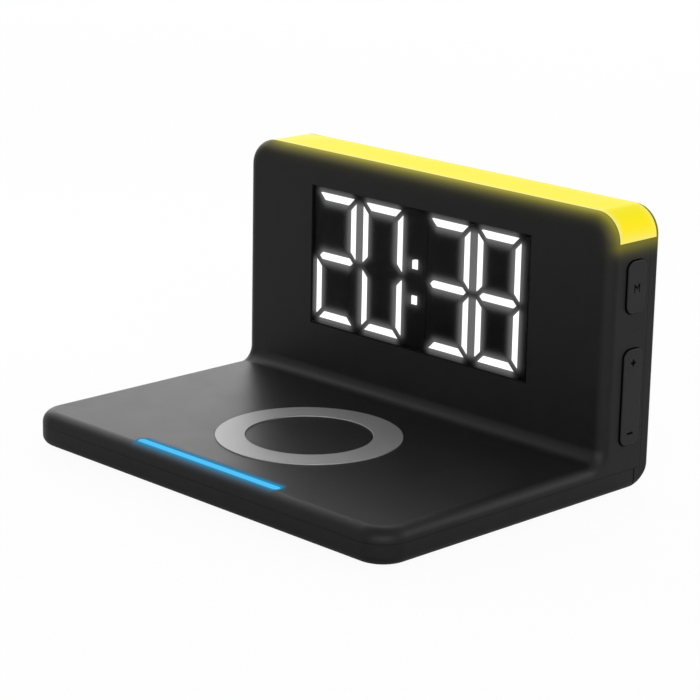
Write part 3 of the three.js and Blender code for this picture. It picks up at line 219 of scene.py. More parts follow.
def rounded_outline(across, up, radii, steps=CORNER_STEPS):
    """A rectangle whose corners, from low left and anticlockwise, have the given radii."""
    (left, right), (low, high) = across, up
    corners = ((left, low, 1, 1), (right, low, -1, 1), (right, high, -1, -1), (left, high, 1, -1))
    points = []
    for index, (a, b, inward, upward) in enumerate(corners):
        radius = radii[index]
        if radius == 0:
            points.append((a, b))
            continue
        start = math.pi * (1 + index / 2)
        for turn in quarter_turn(steps):
            points.append((
                a + radius * (inward + math.cos(start + turn)),
                b + radius * (upward + math.sin(start + turn)),
            ))
    return points


def circle(across, up, radius, sides=ROD_SIDES):
    """A round outline."""
    turns = [2 * math.pi * side / sides for side in range(sides)]
    return [(across + radius * math.cos(turn), up + radius * math.sin(turn)) for turn in turns]


def round_rim(radius, height, edge, steps):
    """A round edge of a turned profile, from its side to its top."""
    return [
        (radius - edge + edge * math.cos(turn), height - edge + edge * math.sin(turn))
        for turn in quarter_turn(steps)
    ]


def along(axis, a, b, at):
    """A point from two coordinates across an axis and one along it."""
    if axis == "x":
        return at, a, b
    if axis == "y":
        return a, at, b
    return a, b, at


def raw_mesh(vertices, edges, faces):
    """A mesh as it is given."""
    mesh = bpy.data.meshes.new("mesh")
    mesh.from_pydata(vertices, edges, faces)
    return mesh


def mesh_from(vertices, faces):
    """A mesh with its doubles merged and its faces turned outwards."""
    mesh = raw_mesh(vertices, [], faces)
    work = bmesh.new()
    work.from_mesh(mesh)
    bmesh.ops.remove_doubles(work, verts=work.verts, dist=WELD)
    bmesh.ops.recalc_face_normals(work, faces=work.faces)
    work.to_mesh(mesh)
    work.free()
    return mesh


def loops_of(vertices, count):
    """Places of vertices that lie in loops of equal length, loop by loop."""
    return [list(range(low, low + count)) for low in range(0, len(vertices), count)]


def stitched(loops):
    """Faces between each loop of vertices and the next."""
    faces = []
    for first, second in zip(loops, loops[1:]):
        for here in range(len(first)):
            after = (here + 1) % len(first)
            faces.append((first[here], first[after], second[after], second[here]))
    return faces


def loft(axis, stations):
    """A solid through outlines of equally many points, stationed along an axis."""
    vertices = [along(axis, a, b, at) for at, outline in stations for a, b in outline]
    loops = loops_of(vertices, len(stations[0][1]))
    return mesh_from(vertices, [loops[0], loops[-1], *stitched(loops)])


def prism(axis, outline, span):
    """A straight bar with the given outline."""
    return loft(axis, [(at, outline) for at in span])


def block(x=EVERYWHERE, y=EVERYWHERE, z=EVERYWHERE):
    """A box between two limits along each axis."""
    return prism("z", [(x[0], y[0]), (x[1], y[0]), (x[1], y[1]), (x[0], y[1])], z)


def rod(axis, place, radius, span):
    """A round bar."""
    return prism(axis, circle(place[0], place[1], radius), span)


def turned(profile, centre, sides=2 * ROD_SIDES):
    """A turned solid about an upright axis, from a closed profile of radius and height."""
    x, y, floor = centre
    turns = [2 * math.pi * side / sides for side in range(sides)]
    vertices = [
        (x + radius * math.cos(turn), y + radius * math.sin(turn), floor + z)
        for turn in turns for radius, z in profile
    ]
    loops = loops_of(vertices, len(profile))
    return mesh_from(vertices, stitched([*loops, loops[0]]))


def scratch(mesh):
    """A helper object, removed again after use."""
    helper = bpy.data.objects.new("scratch", mesh)
    bpy.context.scene.collection.objects.link(helper)
    return helper


def evaluated_mesh(helper):
    """The plain mesh of an object with its modifiers applied."""
    bpy.context.view_layer.update()
    graph = bpy.context.evaluated_depsgraph_get()
    return bpy.data.meshes.new_from_object(helper.evaluated_get(graph))


def combine(base, tools, operation):
    """A solid joined with, cut by or kept within each of the tools in turn."""
    helper = scratch(base)
    others = [scratch(tool) for tool in tools]
    for other in others:
        modifier = helper.modifiers.new("Combine", "BOOLEAN")
        modifier.operation = operation
        modifier.solver = "MANIFOLD"
        modifier.object = other
    mesh = evaluated_mesh(helper)
    for used in (helper, *others):
        bpy.data.objects.remove(used)
    return mesh


def join(base, *others):
    """The union of solids."""
    return combine(base, others, "UNION")


def cut(base, *tools):
    """A solid less the tools."""
    return combine(base, tools, "DIFFERENCE")


def within(base, *limits):
    """The part of a solid that lies in all the limits."""
    return combine(base, limits, "INTERSECT")


def smoothed(mesh, angle=SMOOTH_ANGLE):
    """A mesh with smooth rounds, sharp edges and flat faces that stay flat."""
    work = bmesh.new()
    work.from_mesh(mesh)
    bmesh.ops.remove_doubles(work, verts=work.verts, dist=WELD)
    bmesh.ops.dissolve_degenerate(work, edges=work.edges, dist=WELD)
    work.to_mesh(mesh)
    work.free()
    mesh.shade_smooth()
    mesh.set_sharp_from_angle(angle=angle)
    helper = scratch(mesh)
    modifier = helper.modifiers.new("Flat faces", "WEIGHTED_NORMAL")
    modifier.mode = "FACE_AREA"
    modifier.keep_sharp = True
    result = evaluated_mesh(helper)
    bpy.data.objects.remove(helper)
    return result


def add_piece(name, mesh, materials, replaced, body="body"):
    """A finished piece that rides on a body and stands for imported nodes."""
    mesh.name = name
    if materials:
        mesh.materials.clear()
        for material in materials:
            mesh.materials.append(material)
    piece = bpy.data.objects.new(name, mesh)
    bpy.context.scene.collection.objects.link(piece)
    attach(piece, body)
    if replaced:
        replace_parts(piece, *replaced)
    return piece


# Node trees

NODE_STEP = (180, -220)
NODES_IN_ROW = 8
MOTTLE_BREADTH = 45.0


class Wiring:
    """Adds nodes to one tree, and sets or links their inputs."""

    def __init__(self, tree):
        self.tree = tree

    def put(self, socket, value):
        """Links a socket to another, or sets its value."""
        if isinstance(value, bpy.types.NodeSocket):
            self.tree.links.new(value, socket)
        else:
            socket.default_value = value

    def fill(self, node, inputs):
        """Links or sets inputs of a node."""
        for name, value in inputs.items():
            self.put(node.inputs[name], value)

    def add(self, kind, inputs=None, **settings):
        """A new node with its settings and inputs."""
        made = self.tree.nodes.new(kind)
        row, column = divmod(len(self.tree.nodes), NODES_IN_ROW)
        made.location = (NODE_STEP[0] * column, NODE_STEP[1] * row)
        for name, value in settings.items():
            setattr(made, name, value)
        self.fill(made, inputs or {})
        return made

    def math(self, operation, *values, clamp=False):
        """The result of a sum on values or sockets."""
        made = self.add("ShaderNodeMath", dict(enumerate(values)), operation=operation, use_clamp=clamp)
        return made.outputs[0]

    def blend(self, share, first, second, kind="MIX"):
        """A mix of two colours, which are inputs 6 and 7 and output 2 of a mix node."""
        made = self.add("ShaderNodeMix", data_type="RGBA", blend_type=kind)
        self.fill(made, {0: share, 6: first, 7: second})
        return made.outputs[2]

    def ease(self, value, start, end):
        """A smooth rise from zero to one between two values."""
        limits = {"Value": value, "From Min": start, "From Max": end, "To Min": 0.0, "To Max": 1.0}
        return self.add("ShaderNodeMapRange", limits, interpolation_type="SMOOTHSTEP").outputs[0]

    def place(self):
        """Object coordinates, whole and as x, y and z."""
        whole = self.add("ShaderNodeTexCoord").outputs["Object"]
        return whole, self.add("ShaderNodeSeparateXYZ", {0: whole}).outputs


def solid_colour(colour, scale=1.0):
    """A colour with full alpha, made lighter or darker."""
    return (*[min(part * scale, 1.0) for part in colour], 1.0)


def shader_group(name, inputs, outputs):
    """A shader node group, with its wiring, input sockets and output sockets."""
    tree = bpy.data.node_groups.new(name, "ShaderNodeTree")
    for label, default in inputs:
        socket = tree.interface.new_socket(label, in_out="INPUT", socket_type="NodeSocketFloat")
        socket.default_value = default
    for label in outputs:
        tree.interface.new_socket(label, in_out="OUTPUT", socket_type="NodeSocketFloat")
    wires = Wiring(tree)
    source = wires.add("NodeGroupInput")
    target = wires.add("NodeGroupOutput")
    return tree, wires, source.outputs, target.inputs


def grain_group():
    """Moulded grain: a fine height, and a roughness and a mottle that drift over the surface."""
    tree, wires, given, out = shader_group(
        "Moulded grain",
        [("Scale", 4000.0), ("Roughness", 0.4), ("Drift", 0.06)],
        ["Height", "Roughness", "Mottle"],
    )
    whole, _ = wires.place()
    fine = wires.add("ShaderNodeTexNoise", {"Vector": whole, "Scale": given["Scale"], "Detail": 2.0})
    broad_scale = wires.math("DIVIDE", given["Scale"], MOTTLE_BREADTH)
    broad = wires.add("ShaderNodeTexNoise", {"Vector": whole, "Scale": broad_scale, "Detail": 3.0})
    swing = wires.math("SUBTRACT", broad.outputs[0], 0.5)
    wires.put(out["Height"], fine.outputs[0])
    wires.put(out["Roughness"], wires.math("MULTIPLY_ADD", swing, given["Drift"], given["Roughness"]))
    wires.put(out["Mottle"], broad.outputs[0])
    return tree


def beyond(wires, value, low, high):
    """How far a value lies outside two limits."""
    below = wires.math("SUBTRACT", low, value)
    above = wires.math("SUBTRACT", value, high)
    return wires.math("MAXIMUM", wires.math("MAXIMUM", below, above), 0.0)


def sum_of_squares(wires, *values):
    """Square of the distance that the values span."""
    total = 0.0
    for value in values:
        total = wires.math("MULTIPLY_ADD", value, value, total)
    return total


def falloff(wires, square, reach):
    """Painted light that fades from one with the square of the distance, over a reach."""
    share = wires.math("DIVIDE", square, wires.math("MULTIPLY", reach, reach))
    return wires.math("EXPONENT", wires.math("MULTIPLY", share, -1.0))


# Where the bar's painted glow on the shells sets in ahead of the bar and behind it, how deep it reaches on
# the rim behind it, and how much a place round the corner counts as deeper.
SPILL_AHEAD = 1.0 * MM
SPILL_BEHIND = 0.05 * MM
SPILL_RIM_DEPTH = 1.8 * MM
SPILL_RIM_TURN = 0.4


def painted_bar_spill_group():
    """Painted glow on the shells where the bar's light would spill over their edges, strongest on the rim
    behind it.
    """
    tree, wires, given, out = shader_group(
        "Painted bar spill",
        [("Reach", 2.9 * MM), ("Front", 0.36), ("Side", 0.15), ("Back", 0.95), ("Fade", 16 * MM)],
        ["Light"],
    )
    _, (x, y, z) = wires.place()
    radius = shape().head_corner_radius
    across = wires.math("ABSOLUTE", wires.math("SUBTRACT", x, MIDDLE))
    past_side = wires.math("MAXIMUM", wires.math("SUBTRACT", across, SIDE - radius), 0.0)
    past_top = wires.math("MAXIMUM", wires.math("SUBTRACT", z, TOP - radius), 0.0)
    round_corner = wires.math("SQRT", sum_of_squares(wires, past_side, past_top))
    depth = wires.math("MAXIMUM", wires.math("SUBTRACT", radius, round_corner), 0.0)
    ahead = beyond(wires, y, BAR_LOW.y, BAR_HIGH.y)
    under = beyond(wires, z, BAR_LOW.z, FAR)
    light = falloff(wires, sum_of_squares(wires, depth, ahead, under), given["Reach"])
    in_front = wires.math("DIVIDE", wires.math("SUBTRACT", BAR_LOW.y, y), SPILL_AHEAD, clamp=True)
    raised = wires.math("DIVIDE", wires.math("SUBTRACT", z, BAR_LOW.z), radius, clamp=True)
    extra = wires.math("MULTIPLY", wires.math("SUBTRACT", given["Front"], given["Side"]), raised)
    level = wires.math("MULTIPLY_ADD", in_front, extra, given["Side"])
    behind = wires.math("DIVIDE", wires.math("SUBTRACT", y, BAR_HIGH.y), SPILL_BEHIND, clamp=True)
    sunk = wires.math("MULTIPLY_ADD", past_side, SPILL_RIM_TURN, depth)
    on_top = wires.math("SUBTRACT", 1.0, wires.math("DIVIDE", sunk, SPILL_RIM_DEPTH), clamp=True)
    rim = wires.math("MULTIPLY", wires.math("MULTIPLY", behind, on_top), given["Back"])
    level = wires.math("MAXIMUM", level, rim)
    fade = wires.math("DIVIDE", wires.math("SUBTRACT", x, BAR_LOW.x), given["Fade"], clamp=True)
    wires.put(out["Light"], wires.math("MULTIPLY", wires.math("MULTIPLY", light, level), fade))
    return tree


# The indicator's painted glow on the deck leans a little, forwards at the left end and back at the right end.
# It is short past both ends, and stays on the top skin of the deck.
STRIP_LEAN = 0.0065
STRIP_END = 1.5
DECK_SKIN = 0.5 * MM


def past_strip_core(wires, x, y, end=1.0):
    """Distance from the bright core of the indicator, which can count for more past its ends."""
    tab = STRIP_TAB + STRIP_HALF
    ahead = beyond(wires, y, STRIP_LOW.y + STRIP_HALF, STRIP_HIGH.y - STRIP_HALF)
    aside = beyond(wires, x, STRIP_LOW.x + tab, STRIP_HIGH.x - tab)
    away = wires.math("SQRT", sum_of_squares(wires, ahead, wires.math("MULTIPLY", aside, end)))
    return wires.math("MAXIMUM", wires.math("SUBTRACT", away, STRIP_HALF - STRIP_SHOULDER), 0.0)


def painted_strip_spill_group():
    """Painted glow on the deck round the indicator, where its light would spill."""
    tree, wires, given, out = shader_group("Painted strip spill", [("Reach", 1.5 * MM)], ["Light"])
    _, (x, y, z) = wires.place()
    past = past_strip_core(wires, x, wires.math("MULTIPLY_ADD", x, -STRIP_LEAN, y), STRIP_END)
    under = beyond(wires, z, PAD_TOP - DECK_SKIN, FAR)
    wires.put(out["Light"], falloff(wires, sum_of_squares(wires, past, under), given["Reach"]))
    return tree


# Finishes

BLACK = (0, 0, 0, 1)
BUMP_STRENGTH = 0.35
BOUNCED_LIGHT = 0.25
LEAST_LIT = 0.97
DIFFUSER_BODY = 0.8
LAMP_BODY = 0.05


def made_once(name, maker):
    """A node tree, built the first time that it is asked for."""
    return bpy.data.node_groups.get(name) or maker()


def group_node(wires, name, maker, **values):
    """The outputs of a placed shader group."""
    placed = wires.add("ShaderNodeGroup", node_tree=made_once(name, maker))
    wires.fill(placed, values)
    return placed.outputs


def new_material(name, scale, roughness, drift):
    """A material, its wiring, its shader and its grain, which sets how rough it is."""
    material = bpy.data.materials.new(name)
    material.use_nodes = True
    wires = Wiring(material.node_tree)
    shader = material.node_tree.nodes["Principled BSDF"]
    grain = group_node(wires, "Moulded grain", grain_group, Scale=scale, Roughness=roughness, Drift=drift)
    wires.put(shader.inputs["Roughness"], grain["Roughness"])
    return material, wires, shader, grain


def grained(name, colour, scale, roughness, drift=0.06, bump=0.02, contrast=0.25, metallic=0.0, ior=1.45):
    """A procedural finish with moulded grain, a drifting roughness and a slight mottle."""
    material, wires, shader, grain = new_material(name, scale, roughness, drift)
    raised = wires.add("ShaderNodeBump", {
        "Height": grain["Height"], "Strength": BUMP_STRENGTH, "Distance": bump * MM,
    })
    dark, light = solid_colour(colour, 1 - contrast), solid_colour(colour, 1 + contrast)
    wires.fill(shader, {
        "Base Color": wires.blend(grain["Mottle"], dark, light), "Normal": raised.outputs[0],
        "Metallic": metallic, "IOR": ior,
    })
    return material, wires, shader


def shell_finish(name, lights):
    """Satin black shell, with painted glow where lamps would spill light onto it, and the frosted margin
    round them.
    """
    colours = finish()
    material, wires, shader = grained(name, colours.shell, scale=5200.0, roughness=0.44, bump=0.045, ior=1.22)
    spills = {
        "bar": ("Painted bar spill", painted_bar_spill_group, colours.painted_bar_spill, 1.5),
        "strip": ("Painted strip spill", painted_strip_spill_group, colours.painted_strip_spill, 0.55),
    }
    glow = None
    rough = shader.inputs["Roughness"].links[0].from_socket
    for lamp in lights:
        label, maker, colour, frost = spills[lamp]
        # The spill is painted glow: emission on the shell, not light from a lamp
        light = group_node(wires, label, maker)["Light"]
        shed = wires.blend(light, BLACK, solid_colour(colour))
        glow = wires.blend(1.0, glow, shed, "ADD") if glow else shed
        rough = wires.math("MULTIPLY_ADD", light, frost, rough, clamp=True)
    if glow:
        wires.fill(shader, {"Roughness": rough, "Emission Color": glow, "Emission Strength": 1.0})
    return material


def lit_finish(name, colour, strength):
    """A lit diffuser whose light is a little uneven, and weaker on what it bounces off."""
    material, wires, shader, grain = new_material(name, scale=9000.0, roughness=0.35, drift=0.1)
    light = wires.blend(grain["Mottle"], solid_colour(colour, LEAST_LIT), solid_colour(colour))
    bounces = wires.add("ShaderNodeLightPath").outputs["Ray Depth"]
    dimmed = wires.math("MULTIPLY", bounces, 1 - BOUNCED_LIGHT, clamp=True)
    wires.fill(shader, {
        "Base Color": solid_colour(colour, DIFFUSER_BODY), "Emission Strength": strength,
        "Emission Color": wires.blend(dimmed, light, BLACK),
    })
    return material


def lamp_finish(material, wires, shader, colour, light, ior):
    """Completes a lamp's cover, whose own colour is dark beside its light."""
    wires.fill(shader, {
        "Base Color": solid_colour(colour, LAMP_BODY), "Emission Color": light, "Emission Strength": 1.0,
        "IOR": ior,
    })
    return material


# Shells

FOOT_NODES = [f"foot_{number}" for number in range(1, 5)]
SOUND_ROWS = ((-1, 6), (0, 7), (1, 6))
VENTS = 9


def set_in(radius, inset):
    """Radius of a round outer edge on a surface that lies further in."""
    return max(radius - inset, LEAST_RADIUS)


def fall_back(radius, past):
    """Distance that a round edge falls back where it has gone a given way past its start."""
    return radius - math.sqrt(max(radius ** 2 - max(past, 0) ** 2, 0))


def round_edge(radius):
    """Steps round an edge, each as the distance gone along it and the distance still to fall back."""
    return [(radius * (1 - math.cos(turn)), radius * (1 - math.sin(turn))) for turn in quarter_turn()]


def pad_solid(inset):
    """The pad, with round front corners and round top and base edges, set in by an amount."""
    sizes = shape()
    rear = head_front() + sizes.edge_radius + sizes.wall
    low = BASE + inset
    high = PAD_TOP - inset

    def station(shrink, at):
        side = SIDE - inset - shrink
        corner = set_in(sizes.pad_corner_radius, inset + shrink)
        front = FRONT + inset + shrink
        return at, rounded_outline((MIDDLE - side, MIDDLE + side), (front, rear), (corner, corner, 0, 0))

    return loft("z", [
        *[station(back, low + gone) for gone, back in round_edge(set_in(sizes.base_edge_radius, inset))],
        *[station(gone, high - back) for gone, back in round_edge(set_in(sizes.edge_radius, inset))],
    ])


def head_solid(inset):
    """The head, with its front edge, top corners and the bend at the rear of the base."""
    sizes = shape()
    base = set_in(sizes.base_edge_radius, inset)
    bend = set_in(sizes.rear_bend_radius, inset)
    rim = set_in(sizes.rear_edge_radius, inset)
    front = head_front() + inset
    rear = REAR - inset

    def station(at, shrink):
        side = SIDE - inset - shrink
        corner = set_in(sizes.head_corner_radius, inset + shrink)
        low = BASE + inset + fall_back(bend, at - rear + bend)
        high = TOP - inset - shrink
        return at, rounded_outline((MIDDLE - side, MIDDLE + side), (low, high), (base, base, corner, corner))

    bend_places = [rear - bend + bend * math.sin(turn) for turn in quarter_turn(2 * ROUND_STEPS)]
    rim_places = [rear - rim + rim * math.sin(turn) for turn in quarter_turn()[:-1]]
    places = sorted({round(at, PLACE_DIGITS) for at in bend_places + rim_places})
    return loft("y", [
        *[station(front + gone, back) for gone, back in round_edge(set_in(sizes.edge_radius, inset))],
        *[station(at, fall_back(rim, at - rear + rim)) for at in places],
    ])


def inner_bend_solid(inset):
    """The hollow bend between the pad and the head, with the edge rounding carried round it."""
    sizes = shape()
    side = SIDE - inset
    y = head_front() - sizes.inner_bend_radius
    z = PAD_TOP + sizes.inner_bend_radius
    reach = sizes.inner_bend_radius + sizes.edge_radius + sizes.wall / 2

    def outline(depth):
        radius = sizes.inner_bend_radius + inset + depth
        bend = [(y + radius * math.sin(turn), z - radius * math.cos(turn)) for turn in quarter_turn()]
        return [*bend, (y + reach, z), (y + reach, z - reach), (y, z - reach)]

    ends = [(side - back, outline(gone)) for gone, back in round_edge(set_in(sizes.edge_radius, inset))]
    left = [(MIDDLE - at, section) for at, section in reversed(ends)]
    return loft("x", [*left, *[(MIDDLE + at, section) for at, section in ends]])


def body_solid(inset):
    """The whole L shaped body, set in from its surface by an amount."""
    return join(pad_solid(inset), head_solid(inset), inner_bend_solid(inset))


def centre_of(node):
    """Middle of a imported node."""
    low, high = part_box(node)
    return (low + high) / 2


def bore(node, axis, span):
    """A hole round a packed screw or foot."""
    low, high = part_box(node)
    middle = centre_of(node)
    up = middle.z if axis == "y" else middle.y
    return rod(axis, (middle.x, up), (high.x - low.x) / 2 + shape().fit / 2, span)


def button_outline(node, grow):
    """Outline of a side button, moved outwards by an amount."""
    low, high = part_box(node)
    radius = shape().button_radius + grow
    grow -= FLANGE_LAP if node == "mode_button" else 0.0
    return rounded_outline((low.y - grow, high.y + grow), (low.z - grow, high.z + grow), (radius,) * 4)


def pill(across, up):
    """An outline with round ends."""
    radius = min(across[1] - across[0], up[1] - up[0]) / 2
    return rounded_outline(across, up, (radius,) * 4)


def strip_outline(grow):
    """Outline of the indicator, without the tabs under the deck."""
    across = (STRIP_LOW.x + STRIP_TAB - grow, STRIP_HIGH.x - STRIP_TAB + grow)
    return pill(across, (STRIP_LOW.y - grow, STRIP_HIGH.y + grow))


def socket_outline(grow):
    """Outline of the power socket, moved outwards by an amount."""
    low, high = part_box("power_socket")
    return pill((low.x - grow, high.x + grow), (low.z - grow, high.z + grow))


def screw_nodes(kind):
    """Names of the four screws of a cover."""
    return [f"{kind}_screw_{number}" for number in range(1, 5)]


def sound_pins():
    """Pins that cut staggered rows of sound holes beside the alarm buzzer."""
    sizes = shape()
    pitch = sizes.sound_pitch
    buzzer_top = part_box("alarm_buzzer")[1].z
    places = []
    for row, count in SOUND_ROWS:
        z = buzzer_top + row * pitch * math.sin(math.pi / 3)
        left = centre_of("alarm_buzzer").x - (count - 1) / 2 * pitch
        places += [(left + index * pitch, REAR, z) for index in range(count)]
    pin = rod("z", (0, 0), sizes.sound_hole / 2, (-2 * sizes.wall, 2 * sizes.wall))
    return repeated(places, pin, Turn=(math.pi / 2, 0, 0))


def vent_bars():
    """Bars that cut a row of vent slots under the charger board."""
    sizes = shape()
    left = MIDDLE - (VENTS - 1) / 2 * sizes.vent_pitch
    y = centre_of("charger_board").y
    places = [(left + index * sizes.vent_pitch, y, BASE) for index in range(VENTS)]
    half, reach = sizes.vent_width / 2, sizes.vent_length / 2
    return repeated(places, prism("z", pill((-half, half), (-reach, reach)), (-sizes.wall, 2 * sizes.wall)))


class CLOCK_OT_shells(bpy.types.Operator):
    """Make the front housing, rear cover, bottom cover and light bar"""

    bl_idname = "clock.make_shells"
    bl_label = "Shells and light bar"

    def execute(self, context):
        sizes = shape()
        shell = cut(body_solid(0), body_solid(sizes.wall))
        seam_z = BASE_SEAM + sizes.seam / 2
        corner_y = REAR - sizes.base_seam_setback + sizes.seam / 2
        rear_y = REAR - sizes.rear_seam_setback - sizes.seam / 2
        self.make_housing(shell, seam_z, rear_y)
        self.make_rear_cover(shell, seam_z, corner_y, rear_y)
        self.make_bottom_cover(shell, seam_z, corner_y)
        bar = within(shell, block(y=(BAR_LOW.y, BAR_HIGH.y), z=(BAR_LOW.z, FAR)))
        add_piece("lit_bar", smoothed(bar), [bar_finish()], ["light_bar"])
        return {"FINISHED"}

    def make_housing(self, shell, seam_z, rear_y):
        """Pad deck, head front and sides in one moulding."""
        sizes = shape()
        fit, gap, ledge = sizes.fit, sizes.bar_gap, sizes.lens_ledge
        front = head_front()
        window_x = (LENS_LOW.x - fit, LENS_HIGH.x + fit)
        window_z = (LENS_LOW.z - fit, LENS_HIGH.z + fit)
        side_wall = (MIDDLE + SIDE - 2 * sizes.wall, FAR)
        seat = cut(
            rod("z", RING_CENTRE, RING_OUTER + fit / 2, (RING_LOW.z, FAR)),
            rod("z", RING_CENTRE, RING_INNER - fit / 2, (RING_LOW.z - FAR, 2 * FAR)),
        )
        housing = cut(
            shell,
            block(z=(-FAR, seam_z + sizes.base_gap / 2)),
            block(y=(rear_y - sizes.rear_gap / 2, FAR)),
            block(y=(BAR_LOW.y - gap, FAR), z=(BAR_LOW.z - gap, FAR)),
            block(window_x, (front - sizes.wall, LENS_HIGH.y), window_z),
            block(
                (window_x[0] + ledge, window_x[1] - ledge), (front, front + 2 * sizes.wall),
                (window_z[0] + ledge, window_z[1] - ledge),
            ),
            seat,
            prism("z", strip_outline(fit / 3), (PAD_TOP - 2 * sizes.wall, FAR)),
            *[prism("x", button_outline(node, fit), side_wall) for node in BUTTONS],
        )
        material = shell_finish("satin_black_housing", ("bar", "strip"))
        add_piece("smooth_front_housing", smoothed(housing), [material], ["front_housing"])

    def make_rear_cover(self, shell, seam_z, corner_y, rear_y):
        """Back panel with a shallow rim, bent under to meet the bottom cover."""
        sizes = shape()
        gap = sizes.bar_gap
        behind = cut(
            block(y=(rear_y + sizes.rear_gap / 2, FAR)),
            block(y=(-FAR, BAR_HIGH.y + gap), z=(BAR_LOW.z - gap, 2 * FAR)),
        )
        under = block(y=(corner_y + sizes.corner_gap / 2, FAR), z=(-FAR, seam_z - sizes.base_gap / 2))
        cover = cut(
            within(shell, join(behind, under)),
            prism("y", socket_outline(sizes.fit), (corner_y, FAR)),
            prism("y", socket_outline(sizes.fit + sizes.inlet_rim), (REAR - sizes.inlet_sink, FAR)),
            sound_pins(),
            *[bore(node, "y", (corner_y, FAR)) for node in screw_nodes("rear")],
        )
        material = shell_finish("satin_black_rear", ("bar",))
        add_piece("smooth_rear_cover", smoothed(cover), [material], ["rear_cover"])

    def make_bottom_cover(self, shell, seam_z, corner_y):
        """Tray under the pad, with foot recesses and screw holes."""
        sizes = shape()
        tray = block(y=(-FAR, corner_y - sizes.corner_gap / 2), z=(-FAR, seam_z - sizes.base_gap / 2))
        tray = cut(
            within(shell, tray),
            vent_bars(),
            *[bore(node, "z", EVERYWHERE) for node in screw_nodes("base")],
            *[bore(node, "z", (-FAR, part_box(node)[1].z)) for node in FOOT_NODES],
        )
        material = shell_finish("satin_black_base", ())
        add_piece("smooth_bottom_cover", smoothed(tray), [material], ["bottom_cover"])


# Where the bar's colour deepens below its top, how its pale rim and pale left end fade, and how much of the
# height over its foot counts towards the rim
BAR_DEEPENS = (0.5 * MM, 5 * MM)
BAR_RIM_FADE = 1.1 * MM
BAR_PALE_FADE = 7 * MM
BAR_FOOT = 0.6


def bar_finish():
    """Lit yellow diffuser, paler along its edges and at its left end, and deeper down its ends."""
    colours = finish()
    material, wires, shader, _ = new_material("lit_yellow_diffuser", scale=6000.0, roughness=0.3, drift=0.08)
    _, (x, y, z) = wires.place()
    end = wires.ease(z, TOP - BAR_DEEPENS[0], TOP - BAR_DEEPENS[1])
    front = wires.math("SUBTRACT", y, BAR_LOW.y)
    rear = wires.math("SUBTRACT", BAR_HIGH.y, y)
    low = wires.math("MULTIPLY", wires.math("SUBTRACT", z, BAR_LOW.z), BAR_FOOT)
    nearest = wires.math("MINIMUM", wires.math("MINIMUM", front, rear), low)
    rim = wires.math("EXPONENT", wires.math("DIVIDE", nearest, -BAR_RIM_FADE))
    body = wires.blend(end, solid_colour(colours.bar), solid_colour(colours.bar_core))
    lit = wires.blend(rim, body, solid_colour(colours.bar_rim))
    from_left = wires.math("SUBTRACT", x, BAR_LOW.x)
    far_end = wires.math("EXPONENT", wires.math("DIVIDE", from_left, -BAR_PALE_FADE))
    lit = wires.blend(far_end, lit, solid_colour(colours.bar_pale))
    return lamp_finish(material, wires, shader, colours.bar, lit, ior=1.03)


# Display

LIT_SEGMENTS = {
    "hour_tens_digit": "abged",
    "hour_units_digit": "abcdef",
    "minute_tens_digit": "abgcd",
    "minute_units_digit": "abcdefg",
}
SEGMENT_THICKNESS = 2.2 * MM
SEGMENT_GAP = 1.4 * MM
SEGMENT_LIGHT = 4.2
UNLIT = (0.012, 0.012, 0.013)
WEB_MARGIN = 0.8 * MM
DOT_MARGIN = WEB_MARGIN + 0.25 * MM
DOT_HEIGHT = 2.8 * MM
OUTLINE_SLACK = 0.02 * MM
# The halo round the digits is a painted glow, emitted by the lens
PAINTED_HALO_REACH = 2.3 * MM
PAINTED_HALO_LIGHT = 0.205
PAINTED_HALO_CURVE = 1.6
PAINTED_HALO_TRIM = 1.2 * MM
PAINTED_COLON_HALO = 0.65
LENS_BACK = LENS_HIGH.y - 0.05 * MM
LENS_CHAMFER = 0.15 * MM
LENS_COLUMNS = 258
LENS_ROWS = 125
# The smoke is printed on the back of the lens, so that its front is nearly clear.
LENS_SMOKE = 0.72
LENS_SHEEN = 0.1


def segment_outlines(node):
    """Outlines of a digit's seven segments, by letter, with mitred ends."""
    low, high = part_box(node)
    middle = centre_of(node)
    half = (high.x - low.x) / 2 - WEB_MARGIN
    top = (high.z - low.z) / 2 - WEB_MARGIN
    thick, gap = SEGMENT_THICKNESS, SEGMENT_GAP
    upper = [(-half + gap, top), (-half + gap + thick, top - thick),
             (half - gap - thick, top - thick), (half - gap, top)]
    right = [(half, top - gap), (half - thick, top - gap - thick), (half - thick, gap + thick), (half, gap)]
    tip = half - gap
    shoulder = tip - thick / 2
    bar = [(-tip, 0), (-shoulder, -thick / 2), (shoulder, -thick / 2),
           (tip, 0), (shoulder, thick / 2), (-shoulder, thick / 2)]
    turns = {"a": (upper, 1, 1), "b": (right, 1, 1), "c": (right, 1, -1), "d": (upper, 1, -1),
             "e": (right, -1, -1), "f": (right, -1, 1), "g": (bar, 1, 1)}
    return {
        letter: [(middle.x + a * across, middle.z + b * up) for a, b in points]
        for letter, (points, across, up) in turns.items()
    }


def dot_outlines():
    """Outlines of the two dots of the colon."""
    low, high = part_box("colon_dots")
    across = (low.x + DOT_MARGIN, high.x - DOT_MARGIN)
    bottom, top = low.z + DOT_MARGIN, high.z - DOT_MARGIN
    spans = ((bottom, bottom + DOT_HEIGHT), (top - DOT_HEIGHT, top))
    return [rounded_outline(across, span, (0, 0, 0, 0)) for span in spans]


def trimmed(outline):
    """An outline with shorter ends for the painted halo, because a segment sheds less light there."""
    xs, zs = zip(*outline)
    spans = (max(xs) - min(xs), max(zs) - min(zs))
    keep = 1 - 2 * PAINTED_HALO_TRIM / max(spans)
    across, up = (keep, 1) if spans[0] > spans[1] else (1, keep)
    x, z = (max(xs) + min(xs)) / 2, (max(zs) + min(zs)) / 2
    return [(x + (a - x) * across, z + (b - z) * up) for a, b in outline]


